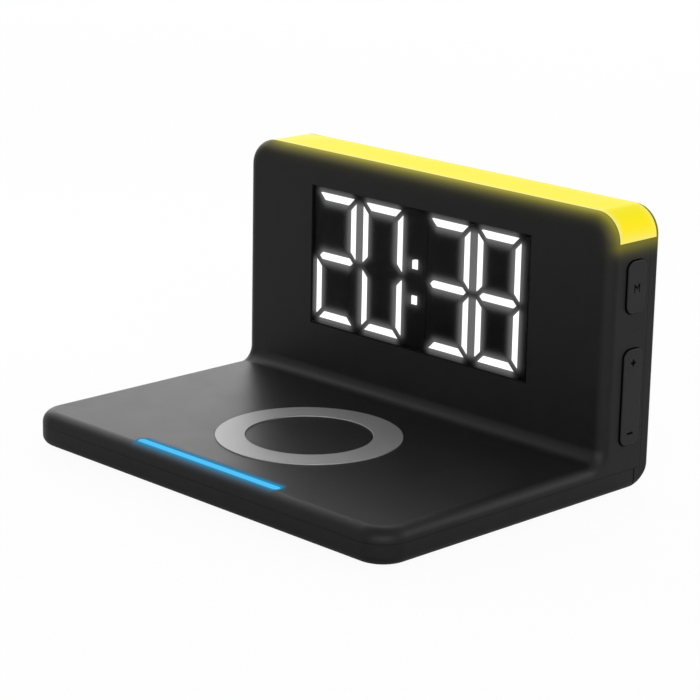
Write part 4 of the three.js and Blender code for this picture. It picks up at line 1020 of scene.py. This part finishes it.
def inside(point, outline):
    """Whether a point lies in or on an outline in the plane of x and z."""
    sides = list(zip(outline, outline[1:] + outline[:1]))
    area = sum(a[0] * b[1] - b[0] * a[1] for a, b in sides)
    hand = 1 if area > 0 else -1
    for (ax, az), (bx, bz) in sides:
        slack = OUTLINE_SLACK * math.hypot(bx - ax, bz - az)
        if hand * ((bx - ax) * (point.z - az) - (bz - az) * (point.x - ax)) < -slack:
            return False
    return True


def flat_mesh(outlines):
    """Outlines as flat faces in the plane of the lens's back."""
    points, faces = [], []
    for outline in outlines:
        faces.append(list(range(len(points), len(points) + len(outline))))
        points.extend((x, LENS_BACK, z) for x, z in outline)
    return raw_mesh(points, [], faces)


def geometry_tree(name, **sockets):
    """A geometry node tree, its wiring and its inputs: the geometry, those named here and a finish."""
    tree = bpy.data.node_groups.new(name, "GeometryNodeTree")
    for label, kind in {"Geometry": "Geometry", **sockets, "Finish": "Material"}.items():
        tree.interface.new_socket(label, in_out="INPUT", socket_type="NodeSocket" + kind)
    tree.interface.new_socket("Geometry", in_out="OUTPUT", socket_type="NodeSocketGeometry")
    wires = Wiring(tree)
    return tree, wires, wires.add("NodeGroupInput").outputs


def end_tree(tree, wires, given, geometry):
    """Completes a geometry node tree: instances made real, in the finish that is asked for."""
    realised = wires.add("GeometryNodeRealizeInstances", {"Geometry": geometry})
    dressed = wires.add("GeometryNodeSetMaterial", {
        "Geometry": realised.outputs[0], "Material": given["Finish"],
    })
    wires.add("NodeGroupOutput", {0: dressed.outputs[0]})
    return tree


def painted_halo_tree():
    """Geometry nodes that add a painted glow of one lit character to the points near it, behind a plane."""
    tree, wires, given = geometry_tree(
        "Painted display halo", Lit="Object", Reach="Float", Level="Float", Plane="Float"
    )
    lit = wires.add("GeometryNodeObjectInfo", {"Object": given["Lit"]}, transform_space="RELATIVE")
    near = wires.add("GeometryNodeProximity", {0: lit.outputs["Geometry"]}, target_element="FACES")
    distance = near.outputs["Distance"]
    glow = falloff(wires, wires.math("MULTIPLY", distance, distance), given["Reach"])
    place = wires.add("ShaderNodeSeparateXYZ", {0: wires.add("GeometryNodeInputPosition").outputs[0]})
    behind = wires.math("GREATER_THAN", place.outputs["Y"], given["Plane"])
    before = wires.add("GeometryNodeInputNamedAttribute", {"Name": "glow"}, data_type="FLOAT").outputs[0]
    level = wires.math("MULTIPLY", behind, given["Level"])
    total = wires.math("MULTIPLY_ADD", level, glow, before)
    stored = wires.add(
        "GeometryNodeStoreNamedAttribute", {"Geometry": given["Geometry"], "Name": "glow", "Value": total},
        data_type="FLOAT", domain="POINT",
    )
    return end_tree(tree, wires, given, stored.outputs[0])


def node_mesh(source, tree, **values):
    """The plain mesh that a geometry node tree makes of a source mesh."""
    helper = scratch(source)
    modifier = helper.modifiers.new("Nodes", "NODES")
    modifier.node_group = tree
    for item in tree.interface.items_tree:
        if item.in_out == "INPUT" and item.name in values:
            modifier[item.identifier] = values[item.name]
    mesh = evaluated_mesh(helper)
    bpy.data.objects.remove(helper)
    return mesh


def lens_finish():
    """Smoked window that the lit segments show through, with a soft halo round them, painted as emission."""
    colours = finish()
    material, wires, shader, _ = new_material("smoked_window", scale=1500.0, roughness=0.2, drift=0.08)
    # The halo is a painted glow: emission on the lens's back, read from the stored attribute
    glow = wires.add("ShaderNodeAttribute", attribute_name="glow").outputs["Fac"]
    glow = wires.math("POWER", glow, PAINTED_HALO_CURVE)
    y = wires.place()[1]["Y"]
    behind = wires.math("GREATER_THAN", y, (LENS_LOW.y + LENS_BACK) / 2)
    wires.fill(shader, {
        "Base Color": solid_colour(colours.lens),
        "Emission Color": wires.blend(glow, BLACK, solid_colour(colours.digits, PAINTED_HALO_LIGHT)),
        "Emission Strength": 1.0,
        "IOR": 1.15,
        "Alpha": wires.math("MULTIPLY_ADD", behind, LENS_SMOKE - LENS_SHEEN, LENS_SHEEN),
    })
    return material


def stepped(low, high, count, inset=0.0):
    """Equal steps between two limits, with the first and the last set in."""
    steps = [low + (high - low) * step / count for step in range(count + 1)]
    return [low + inset, *steps[1:-1], high - inset]


def lens_mesh():
    """The lens as a plate with a close grid on its back and small chamfers round its front."""
    columns, rows = LENS_COLUMNS, LENS_ROWS
    wide = columns + 1
    xs = stepped(LENS_LOW.x, LENS_HIGH.x, columns)
    zs = stepped(LENS_LOW.z, LENS_HIGH.z, rows)
    vertices = [(x, LENS_BACK, z) for z in zs for x in xs]
    corners = [row * wide + column for row in range(rows) for column in range(columns)]
    faces = [(corner, corner + 1, corner + 1 + wide, corner + wide) for corner in corners]
    rim = [
        *[(0, column) for column in range(columns)],
        *[(row, columns) for row in range(rows)],
        *[(rows, column) for column in range(columns, 0, -1)],
        *[(row, 0) for row in range(rows, 0, -1)],
    ]
    loops = [[row * wide + column for row, column in rim]]
    for y, inset in ((LENS_LOW.y + LENS_CHAMFER, 0.0), (LENS_LOW.y, LENS_CHAMFER)):
        start = len(vertices)
        xs = stepped(LENS_LOW.x, LENS_HIGH.x, columns, inset)
        zs = stepped(LENS_LOW.z, LENS_HIGH.z, rows, inset)
        vertices += [(xs[column], y, zs[row]) for row, column in rim]
        loops.append(list(range(start, len(vertices))))
    return mesh_from(vertices, [*faces, *stitched(loops), loops[-1]])


class CLOCK_OT_display(bpy.types.Operator):
    """Make the smoked lens, its painted halo and the lit digits"""

    bl_idname = "clock.make_display"
    bl_label = "Display"

    def execute(self, context):
        dots = dot_outlines()
        characters = {"colon_dots": (dots, dots)}
        for node, letters in LIT_SEGMENTS.items():
            outlines = segment_outlines(node)
            lit = [outline for letter, outline in outlines.items() if letter in letters]
            characters[node] = (list(outlines.values()), lit)
        window = lens_mesh()
        tree = painted_halo_tree()
        smoked = lens_finish()
        bright = lit_finish("lit_white_segment", finish().digits, SEGMENT_LIGHT)
        dark = grained("unlit_segment", UNLIT, scale=3000.0, roughness=0.5)[0]
        for node, (outlines, lit) in characters.items():
            target = scratch(flat_mesh([trimmed(outline) for outline in lit]))
            window = node_mesh(
                window, tree, Lit=target, Reach=PAINTED_HALO_REACH, Level=PAINTED_COLON_HALO if node == "colon_dots" else 1.0,
                Plane=LENS_BACK - WELD, Finish=smoked,
            )
            bpy.data.objects.remove(target)
            self.make_character(node, outlines, lit, [dark, bright])
        add_piece("smoked_window", window, None, ["display_lens"])
        return {"FINISHED"}

    def make_character(self, node, outlines, lit, materials):
        """A digit's diffuser: a prism in each slot of the mask, lit or dark, on a web behind it."""
        low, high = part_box(node)
        web = block((low.x, high.x), (MASK_BACK, high.y), (low.z, high.z))
        span = (low.y, MASK_BACK + WEB_MARGIN / 2)
        whole = join(web, *[prism("y", outline, span) for outline in outlines])
        add_piece("lit_" + node, whole, materials, [node])
        for face in whole.polygons:
            ahead = face.center.y < MASK_BACK
            shines = ahead and any(inside(face.center, outline) for outline in lit)
            face.material_index = 1 if shines else 0


# Pad

RING_EDGE = 0.15 * MM
RING_STEPS = 4
STRIP_EDGE = 0.1 * MM
STRIP_SOFT_EDGE = 0.25 * MM


class CLOCK_OT_pad(bpy.types.Operator):
    """Make the grip ring and the indicator of the pad"""

    bl_idname = "clock.make_pad"
    bl_label = "Grip ring and indicator"

    def execute(self, context):
        outer_round = round_rim(RING_OUTER, RING_HIGH.z - RING_LOW.z, RING_EDGE, RING_STEPS)
        inner_round = [(RING_INNER + RING_OUTER - radius, z) for radius, z in reversed(outer_round)]
        profile = [(RING_INNER, 0), (RING_OUTER, 0), *outer_round, *inner_round]
        ring = turned(profile, (*RING_CENTRE, RING_LOW.z))
        silicone = grained(
            "grey_silicone", finish().grip, scale=6000.0, roughness=0.55, contrast=0.06, metallic=0.8, ior=1.5
        )[0]
        add_piece("silicone_ring", smoothed(ring), [silicone], ["grip_ring"])
        low = STRIP_LOW.z
        face = loft("z", [
            (low, strip_outline(0)), (PAD_TOP - STRIP_EDGE, strip_outline(0)),
            (PAD_TOP, strip_outline(-STRIP_EDGE)),
        ])
        tab_edge = STRIP_HALF - STRIP_TAB / 2
        tabs = pill((STRIP_LOW.x, STRIP_HIGH.x), (STRIP_LOW.y + tab_edge, STRIP_HIGH.y - tab_edge))
        pipe = join(face, prism("z", tabs, (low, PAD_TOP - shape().wall)))
        add_piece("lit_indicator", smoothed(pipe), [strip_finish()], ["indicator_light"])
        return {"FINISHED"}


def strip_finish():
    """Lit blue light pipe, deeper along its edges."""
    colours = finish()
    material, wires, shader, _ = new_material("lit_blue_pipe", scale=6000.0, roughness=0.3, drift=0.08)
    _, (x, y, _) = wires.place()
    edge = wires.ease(past_strip_core(wires, x, y), 0.0, STRIP_SOFT_EDGE)
    lit = wires.blend(edge, solid_colour(colours.strip), solid_colour(colours.strip_edge))
    return lamp_finish(material, wires, shader, colours.strip, lit, ior=1.01)


# Buttons

BUTTONS = ("mode_button", "adjust_rocker")
RIM_STEPS = 5
MODE_DEPTH = 1.3 * MM
ROCKER_DEPTH = 3.4 * MM
FLANGE_LAP = 1.2 * MM
FLANGE_THICKNESS = 1.0 * MM
STEM_RADIUS = 1.6 * MM
STEM_GAP = 0.2 * MM
HUB_RADIUS = 2.4 * MM
HUB_HALF = 1.6 * MM
HUB_BORE = 1.3 * MM
# The marks: half sizes and strokes of the letter, plus and minus, their places, and their depth in the caps
LETTER_HALF = 1.3 * MM
LETTER_STROKE = 0.4 * MM
LETTER_SLANT = 0.7 * MM
LETTER_DIP = -0.45 * MM
LETTER_DROP = 0.4 * MM
PLUS_ARM = 1.1 * MM
MINUS_ARM = 1.35 * MM
SIGN_HALF = 0.33 * MM
PLUS_INSET = 4.3 * MM
MINUS_INSET = 3.8 * MM
MARK_SUNK = 0.2 * MM
MARK_PROUD = 0.02 * MM


def letter_outline():
    """The letter of the mode button, about its middle."""
    half, leg = LETTER_HALF, LETTER_HALF - LETTER_STROKE
    right = [(leg, half - LETTER_SLANT), (leg, -half), (half, -half), (half, half), (leg, half)]
    left = [(-across, up) for across, up in reversed(right)]
    return [(0, LETTER_DIP), *right, (0, LETTER_DIP + LETTER_SLANT), *left]


def plus_outline():
    """A plus about its middle."""
    arm, thin = PLUS_ARM, SIGN_HALF
    return [
        (-arm, -thin), (-thin, -thin), (-thin, -arm), (thin, -arm), (thin, -thin), (arm, -thin),
        (arm, thin), (thin, thin), (thin, arm), (-thin, arm), (-thin, thin), (-arm, thin),
    ]


class CLOCK_OT_buttons(bpy.types.Operator):
    """Make the mode button and the plus and minus rocker, with their marks"""

    bl_idname = "clock.make_buttons"
    bl_label = "Buttons"

    def execute(self, context):
        edge = shape().button_edge
        inner = MIDDLE + SIDE - shape().wall
        black = grained("textured_black_button", finish().button, scale=7000.0, roughness=0.45, ior=1.26)[0]
        ink = grained("mark_ink", finish().mark, scale=5000.0, roughness=0.8, ior=1.03)[0]
        for node in BUTTONS:
            face_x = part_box(node)[1].x
            back = inner - MODE_DEPTH if node == "mode_button" else face_x - ROCKER_DEPTH
            rim = [
                (face_x - edge + edge * math.sin(turn), button_outline(node, -edge * (1 - math.cos(turn))))
                for turn in quarter_turn(RIM_STEPS)
            ]
            cap = loft("x", [(back, button_outline(node, 0)), *rim])
            button = smoothed(join(cap, *self.inner_solids(node, inner)))
            add_piece("smooth_" + node, button, [black, ink], [node], body=node)
            for face in button.polygons:
                face.material_index = 1 if face.center.x < face_x - edge else 0
        self.make_marks(ink)
        return {"FINISHED"}

    def inner_solids(self, node, inner):
        """Flange, hub and stems behind a cap."""
        middle = centre_of(node)
        if node == "mode_button":
            flange_face = inner - shape().fit
            flange_span = (flange_face - FLANGE_THICKNESS, flange_face)
            stem = rod("x", (middle.y, middle.z), STEM_RADIUS, (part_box(node)[0].x, inner))
            return [prism("x", button_outline(node, FLANGE_LAP), flange_span), stem]
        stem_span = (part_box("minus_plunger")[1].x + STEM_GAP, inner)
        places = [centre_of("minus_plunger"), centre_of("plus_plunger")]
        stems = [rod("x", (place.y, place.z), STEM_RADIUS, stem_span) for place in places]
        pin = centre_of("rocker_pin")
        hub_span = (middle.y - HUB_HALF, middle.y + HUB_HALF)
        hub = rod("y", (pin.x, pin.z), HUB_RADIUS, hub_span)
        web = block((pin.x, inner), hub_span, (pin.z - HUB_RADIUS, pin.z + HUB_RADIUS))
        return [*stems, cut(join(hub, web), rod("y", (pin.x, pin.z), HUB_BORE, EVERYWHERE))]

    def make_marks(self, ink):
        """A letter on the mode button, and a plus and a minus on the rocker."""
        low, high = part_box("adjust_rocker")
        middle_y = (low.y + high.y) / 2
        minus = rounded_outline((-MINUS_ARM, MINUS_ARM), (-SIGN_HALF, SIGN_HALF), (0, 0, 0, 0))
        marks = (
            ("mode_mark", letter_outline(), "mode_button", centre_of("mode_button").z - LETTER_DROP),
            ("plus_mark", plus_outline(), "adjust_rocker", high.z - PLUS_INSET),
            ("minus_mark", minus, "adjust_rocker", low.z + MINUS_INSET),
        )
        for name, points, body, z in marks:
            outline = [(middle_y + across, z + up) for across, up in points]
            mark = prism("x", outline, (high.x - MARK_SUNK, high.x + MARK_PROUD))
            add_piece(name, mark, [ink], [], body=body)


# Fasteners, feet, socket and wires

SCREW_RADIUS = 1.4 * MM
SCREW_HEAD = 1.8 * MM
SCREW_EDGE = 0.4 * MM
CROSS_SHARE = 0.68
CROSS_HALF = 0.35 * MM
CROSS_DEPTH = 0.9 * MM
SCREW_SEED = 3
FOOT_EDGE = 0.5 * MM
FOOT_STEPS = 6
FOOT_DISH = 0.25 * MM
FOOT_DISH_SHARES = (0.55, 0.62)
SOCKET_WALL = 0.35 * MM
SOCKET_FLOOR = 1.0 * MM
LINING = 0.05 * MM
INSERT_DEPTH = 1.5 * MM
TONGUE_HALF = 3.3 * MM
TONGUE_REACH = 6.4 * MM
TONGUE_THIN = 0.35 * MM
COIL_INNER = 10 * MM
COIL_PITCH = 2.2 * MM
COIL_TURNS = 5
COIL_STEPS = 60
COIL_SHARE = 0.98
RIBBON_WIRES = 10
RIBBON_HALF = 0.3 * MM
RIBBON_BEND = 1.5 * MM
RIBBON_STEPS = 8
WIRE_SMOOTH = math.radians(60)


def repeat_tree():
    """Geometry nodes that put a piece on every point, each turned about its own axis."""
    tree, wires, given = geometry_tree(
        "Repeated piece", Piece="Object", Turn="Vector", Spin="Float", Seed="Int"
    )
    piece = wires.add("GeometryNodeObjectInfo", {"Object": given["Piece"], "As Instance": True})
    turn = wires.add("FunctionNodeEulerToRotation", {0: given["Turn"]}).outputs[0]
    placed = wires.add("GeometryNodeInstanceOnPoints", {
        "Points": given["Geometry"], "Instance": piece.outputs["Geometry"], "Rotation": turn,
    })
    # Inputs 2 and 3 and output 1 are the limits and the result for plain numbers.
    chance = wires.add(
        "FunctionNodeRandomValue", {"Seed": given["Seed"], 2: 0.0, 3: given["Spin"]}, data_type="FLOAT"
    )
    spin = wires.add("ShaderNodeCombineXYZ", {"Z": chance.outputs[1]}).outputs[0]
    about = wires.add("FunctionNodeEulerToRotation", {0: spin}).outputs[0]
    spun = wires.add("GeometryNodeRotateInstances", {
        "Instances": placed.outputs[0], "Rotation": about, "Local Space": True,
    })
    return end_tree(tree, wires, given, spun.outputs[0])


def repeated(places, solid, **values):
    """A solid put on every place by geometry nodes."""
    piece = scratch(solid)
    mesh = node_mesh(points_mesh(places), made_once("Repeated piece", repeat_tree), Piece=piece, **values)
    bpy.data.objects.remove(piece)
    return mesh


def wire_tree():
    """Geometry nodes that run round wires along a path, side by side."""
    tree, wires, given = geometry_tree(
        "Wires along a path", Radius="Float", Sides="Int", Count="Int", Pitch="Float"
    )
    path = wires.add("GeometryNodeMeshToCurve", {"Mesh": given["Geometry"]})
    ring = wires.add("GeometryNodeCurvePrimitiveCircle", {
        "Resolution": given["Sides"], "Radius": given["Radius"],
    })
    wire = wires.add("GeometryNodeCurveToMesh", {
        "Curve": path.outputs[0], "Profile Curve": ring.outputs[0], "Fill Caps": True,
    })
    step = wires.add("ShaderNodeCombineXYZ", {"X": given["Pitch"]}).outputs[0]
    row = wires.add("GeometryNodeMeshLine", {"Count": given["Count"], "Offset": step})
    placed = wires.add("GeometryNodeInstanceOnPoints", {
        "Points": row.outputs[0], "Instance": wire.outputs[0],
    })
    return end_tree(tree, wires, given, placed.outputs[0])


def add_wires(name, node, slot, path, **values):
    """A piece of wires along a path."""
    tree = made_once("Wires along a path", wire_tree)
    mesh = node_mesh(points_mesh(path, True), tree, Finish=inner_finish(slot), **values)
    add_piece(name, smoothed(mesh, WIRE_SMOOTH), None, [node])


def points_mesh(points, joined=False):
    """A mesh of bare points, or of the path through them."""
    edges = [(index, index + 1) for index in range(len(points) - 1)] if joined else []
    return raw_mesh(points, edges, [])


def screw_mesh(head_radius, tall):
    """A screw with its head's top at zero, facing up, with a domed head and a cross recess."""
    dome = round_rim(head_radius, 0.0, SCREW_EDGE, RIM_STEPS)
    shank = [(0, -tall), (SCREW_RADIUS, -tall), (SCREW_RADIUS, -SCREW_HEAD), (head_radius, -SCREW_HEAD)]
    solid = turned([*shank, *dome, (0, 0)], (0, 0, 0), ROD_SIDES)
    long = (-head_radius * CROSS_SHARE, head_radius * CROSS_SHARE)
    short = (-CROSS_HALF, CROSS_HALF)
    deep = (-CROSS_DEPTH, FAR)
    return smoothed(cut(solid, block(long, short, deep), block(short, long, deep)))


class CLOCK_OT_fasteners(bpy.types.Operator):
    """Make the screws and feet under the base and the screws of the rear cover"""

    bl_idname = "clock.make_fasteners"
    bl_label = "Screws and feet"

    def execute(self, context):
        steel = inner_finish("steel")
        for kind, turn in (("base", (math.pi, 0, 0)), ("rear", (-math.pi / 2, 0, 0))):
            names = screw_nodes(kind)
            places = []
            for name in names:
                low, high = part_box(name)
                middle = centre_of(name)
                places.append((middle.x, middle.y, low.z) if kind == "base" else (middle.x, high.y, middle.z))
            low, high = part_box(names[0])
            tall = high.z - low.z if kind == "base" else high.y - low.y
            screw = screw_mesh((high.x - low.x) / 2, tall)
            mesh = repeated(places, screw, Turn=turn, Spin=math.pi / 2, Seed=SCREW_SEED, Finish=steel)
            add_piece(f"{kind}_screws", mesh, None, names)
        self.make_feet()
        return {"FINISHED"}

    def make_feet(self):
        """Round feet with a shallow dish underneath."""
        low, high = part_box(FOOT_NODES[0])
        radius = (high.x - low.x) / 2
        tall = high.z - low.z
        rim = [(reach, -z) for reach, z in reversed(round_rim(radius, 0.0, FOOT_EDGE, FOOT_STEPS))]
        flat, lip = [radius * share for share in FOOT_DISH_SHARES]
        profile = [(0, FOOT_DISH), (flat, FOOT_DISH), (lip, 0), *rim, (radius, tall), (0, tall)]
        foot = smoothed(turned(profile, (0, 0, 0), ROD_SIDES))
        places = [(centre_of(name).x, centre_of(name).y, 0.0) for name in FOOT_NODES]
        rubber = grained("black_rubber", finish().rubber, scale=4500.0, roughness=0.75, bump=0.05)[0]
        add_piece("rubber_feet", repeated(places, foot, Finish=rubber), None, FOOT_NODES)


class CLOCK_OT_inside(bpy.types.Operator):
    """Make the power socket, coil and ribbon, and finish the pieces inside"""

    bl_idname = "clock.finish_inside"
    bl_label = "Socket, wires and inner pieces"

    def execute(self, context):
        self.make_socket()
        self.make_coil()
        self.make_ribbon()
        hidden = {name for piece in bpy.data.objects for name in piece.get("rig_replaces", [])}
        for name, piece in frame["nodes"].items():
            if name not in hidden:
                piece.data.materials[0] = inner_finish(inner_slot(name))
        return {"FINISHED"}

    def make_socket(self):
        """A round ended sleeve with a contact tongue, open to the rear."""
        low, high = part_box("power_socket")
        middle = centre_of("power_socket")
        floor = low.y + SOCKET_FLOOR
        sleeve = prism("y", socket_outline(0), (low.y, high.y))
        shell = cut(sleeve, prism("y", socket_outline(-SOCKET_WALL), (floor, FAR)))
        add_piece("inlet_socket", smoothed(shell), [inner_finish("steel")], ["power_socket"])
        back = prism("y", socket_outline(-SOCKET_WALL - LINING), (floor + LINING, floor + INSERT_DEPTH))
        tongue = block(
            (middle.x - TONGUE_HALF, middle.x + TONGUE_HALF), (floor + LINING, low.y + TONGUE_REACH),
            (middle.z - TONGUE_THIN, middle.z + TONGUE_THIN),
        )
        plastic = inner_finish("black_inner_plastic")
        add_piece("inlet_tongue", smoothed(join(back, tongue)), [plastic], [])

    def make_coil(self):
        """Flat spiral of enamelled wire with a lead to the charger board."""
        low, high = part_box("charging_coil")
        x, y = RING_CENTRE
        z = (low.z + high.z) / 2
        path = []
        for step in range(COIL_TURNS * COIL_STEPS + 1):
            turn = 2 * math.pi * step / COIL_STEPS
            reach = COIL_INNER + COIL_PITCH * step / COIL_STEPS
            path.append((x + reach * math.cos(turn), y + reach * math.sin(turn), z))
        path.append((x + COIL_INNER + COIL_PITCH * COIL_TURNS, high.y, z))
        radius = (high.z - low.z) / 2 * COIL_SHARE
        add_wires("wound_coil", "charging_coil", "copper", path, Radius=radius, Sides=12, Count=1, Pitch=0.0)

    def make_ribbon(self):
        """Insulated conductors side by side, bent once."""
        low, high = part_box("ribbon_cable")
        half, bend = RIBBON_HALF, RIBBON_BEND
        pitch = (high.x - low.x) / RIBBON_WIRES
        x = low.x + pitch / 2
        y, z = low.y + half + bend, low.z + half + bend
        turns = quarter_turn(RIBBON_STEPS)
        arc = [(x, y - bend * math.sin(turn), z - bend * math.cos(turn)) for turn in turns]
        path = [(x, high.y, low.z + half), *arc, (x, low.y + half, high.z)]
        add_wires(
            "ribbon_wires", "ribbon_cable", "ribbon_grey", path,
            Radius=half, Sides=10, Count=RIBBON_WIRES, Pitch=pitch,
        )


# Colour, scale of the grain, roughness and share of metal
INNER_FINISHES = {
    "steel": ((0.56, 0.57, 0.58), 2500.0, 0.32, 1.0),
    "copper": ((0.62, 0.29, 0.12), 3000.0, 0.35, 1.0),
    "green_board": ((0.02, 0.12, 0.05), 900.0, 0.45, 0.0),
    "led_package": ((0.75, 0.7, 0.5), 2000.0, 0.4, 0.0),
    "ferrite": ((0.04, 0.036, 0.034), 1800.0, 0.8, 0.0),
    "ribbon_grey": ((0.55, 0.55, 0.53), 1500.0, 0.55, 0.0),
    "black_inner_plastic": ((0.01, 0.01, 0.01), 3000.0, 0.65, 0.0),
}


def inner_finish(slot):
    """The finish of a slot, made once."""
    found = bpy.data.materials.get("finish_" + slot)
    if found:
        return found
    colour, scale, roughness, metallic = INNER_FINISHES[slot]
    return grained("finish_" + slot, colour, scale, roughness, metallic=metallic, contrast=0.15)[0]


def inner_slot(name):
    """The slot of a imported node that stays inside."""
    if name.endswith("_board"):
        return "green_board"
    if "_led_" in name:
        return "led_package"
    if name == "ferrite_sheet":
        return "ferrite"
    if "screw" in name or "plunger" in name or name in ("rocker_pin", "rocker_bracket"):
        return "steel"
    return "black_inner_plastic"


# Stage

# Name, place, size in metres and power of each lamp
LAMPS = (
    ("back_lamp", (1.45, 1.6, 0.8), (1.6, 1.0), 14.5),
    ("rear_lamp", (-0.9, 1.75, 1.35), (1.8, 1.6), 21.5),
    ("left_lamp", (-1.6, 1.2, 0.55), (1.6, 1.2), 12.0),
    ("edge_lamp", (-0.4, 0.0, 0.3), (0.32, 0.14), 0.5),
    ("front_lamp", (1.38, -1.28, 0.36), (2.6, 2.0), 54.0),
)
WHITE = (1, 1, 1, 1)
SENSOR_WIDTH = 36.0
NEAREST_SEEN = 0.01
FLOOR_SEEN_WHITE = 0.94
FLOOR_MIRRORED_WHITE = 0.05


def ray_kinds(wires):
    """Whether a ray comes from the camera, and whether it comes from a mirror or through clear glass."""
    path = wires.add("ShaderNodeLightPath").outputs
    return path["Is Camera Ray"], wires.math("MAXIMUM", path["Is Glossy Ray"], path["Is Transmission Ray"])


class CLOCK_OT_stage(bpy.types.Operator):
    """Set the camera, the lamps, the even light and the pale floor"""

    bl_idname = "clock.set_stage"
    bl_label = "Stage"

    def execute(self, context):
        settings = context.scene.clock_stage
        context.scene.view_settings.view_transform = "Standard"
        self.set_camera(context, settings)
        self.set_sky(context, settings)
        self.set_floor(context, settings)
        for name, place, size, power in LAMPS:
            data = bpy.data.lights.new(name, "AREA")
            data.shape = "RECTANGLE"
            data.size, data.size_y = size
            data.energy = power
            lamp = bpy.data.objects.new(name, data)
            lamp.location = place
            lamp.rotation_mode = "QUATERNION"
            aim = Vector(settings.target) - Vector(place)
            lamp.rotation_quaternion = aim.to_track_quat("-Z", "Y")
            context.scene.collection.objects.link(lamp)
        return {"FINISHED"}

    def set_camera(self, context, settings):
        """Camera at the picture's viewing angle."""
        data = bpy.data.cameras.new("camera")
        data.sensor_width = SENSOR_WIDTH
        data.lens = settings.lens
        data.clip_start = NEAREST_SEEN
        camera = bpy.data.objects.new("camera", data)
        flat = math.cos(settings.elevation)
        right = Vector((math.cos(settings.azimuth), math.sin(settings.azimuth), 0))
        back = Vector((right.y * flat, -right.x * flat, math.sin(settings.elevation)))
        up = back.cross(right)
        turn = Matrix((right, up, back)).transposed() @ Matrix.Rotation(settings.roll, 3, "Z")
        place = Vector(settings.target) + back * settings.distance
        camera.matrix_world = Matrix.Translation(place) @ turn.to_4x4()
        context.scene.collection.objects.link(camera)
        context.scene.camera = camera

    def set_sky(self, context, settings):
        """Even light, white where it is seen directly or mirrored."""
        world = bpy.data.worlds.new("studio")
        world.use_nodes = True
        context.scene.world = world
        wires = Wiring(world.node_tree)
        seen = wires.math("MAXIMUM", *ray_kinds(wires))
        strength = wires.add("ShaderNodeMapRange", {"Value": seen, "To Min": settings.sky, "To Max": 1.0})
        wires.fill(world.node_tree.nodes["Background"], {"Strength": strength.outputs[0], "Color": WHITE})

    def set_floor(self, context, settings):
        """Pale floor that shows white and keeps the shadow."""
        half = settings.floor_size / 2
        corners = [(-half, -half, 0), (half, -half, 0), (half, half, 0), (-half, half, 0)]
        mesh = raw_mesh(corners, [], [(0, 1, 2, 3)])
        material = bpy.data.materials.new("pale_floor")
        material.use_nodes = True
        material.node_tree.nodes.clear()
        wires = Wiring(material.node_tree)
        matt = wires.add("ShaderNodeBsdfDiffuse", {"Color": solid_colour(finish().floor)})
        white = wires.add("ShaderNodeEmission", {"Color": WHITE, "Strength": 1.0})
        seen, mirrored = ray_kinds(wires)
        share = wires.math("MULTIPLY", seen, FLOOR_SEEN_WHITE)
        share = wires.math("MULTIPLY_ADD", mirrored, FLOOR_MIRRORED_WHITE, share)
        mixed = wires.add("ShaderNodeMixShader", {0: share, 1: matt.outputs[0], 2: white.outputs[0]})
        wires.add("ShaderNodeOutputMaterial", {0: mixed.outputs[0]})
        mesh.materials.append(material)
        floor = bpy.data.objects.new("floor", mesh)
        context.scene.collection.objects.link(floor)


STEPS = (
    CLOCK_OT_stage,
    CLOCK_OT_shells,
    CLOCK_OT_display,
    CLOCK_OT_pad,
    CLOCK_OT_buttons,
    CLOCK_OT_fasteners,
    CLOCK_OT_inside,
)


class CLOCK_PT_panel(bpy.types.Panel):
    """Lists the steps that build the clock"""

    bl_idname = "CLOCK_PT_panel"
    bl_label = "Charging clock"
    bl_space_type = "VIEW_3D"
    bl_region_type = "UI"
    bl_category = "Clock"

    def draw(self, context):
        for step in STEPS:
            self.layout.operator(step.bl_idname)


SETTINGS = {"clock_shape": ClockShape, "clock_finish": ClockFinish, "clock_stage": ClockStage}


def register():
    """Adds the settings, the steps and the panel."""
    for kind in (*SETTINGS.values(), *STEPS, CLOCK_PT_panel):
        bpy.utils.register_class(kind)
    for name, kind in SETTINGS.items():
        setattr(bpy.types.Scene, name, PointerProperty(type=kind))


def unregister():
    """Removes them again."""
    for name in SETTINGS:
        delattr(bpy.types.Scene, name)
    for kind in (CLOCK_PT_panel, *reversed(STEPS), *SETTINGS.values()):
        bpy.utils.unregister_class(kind)


def main():
    """Builds everything in order."""
    register()
    bpy.ops.clock.set_stage()
    bpy.ops.clock.make_shells()
    bpy.ops.clock.make_display()
    bpy.ops.clock.make_pad()
    bpy.ops.clock.make_buttons()
    bpy.ops.clock.make_fasteners()
    bpy.ops.clock.finish_inside()


if __name__ == "__main__":
    main()
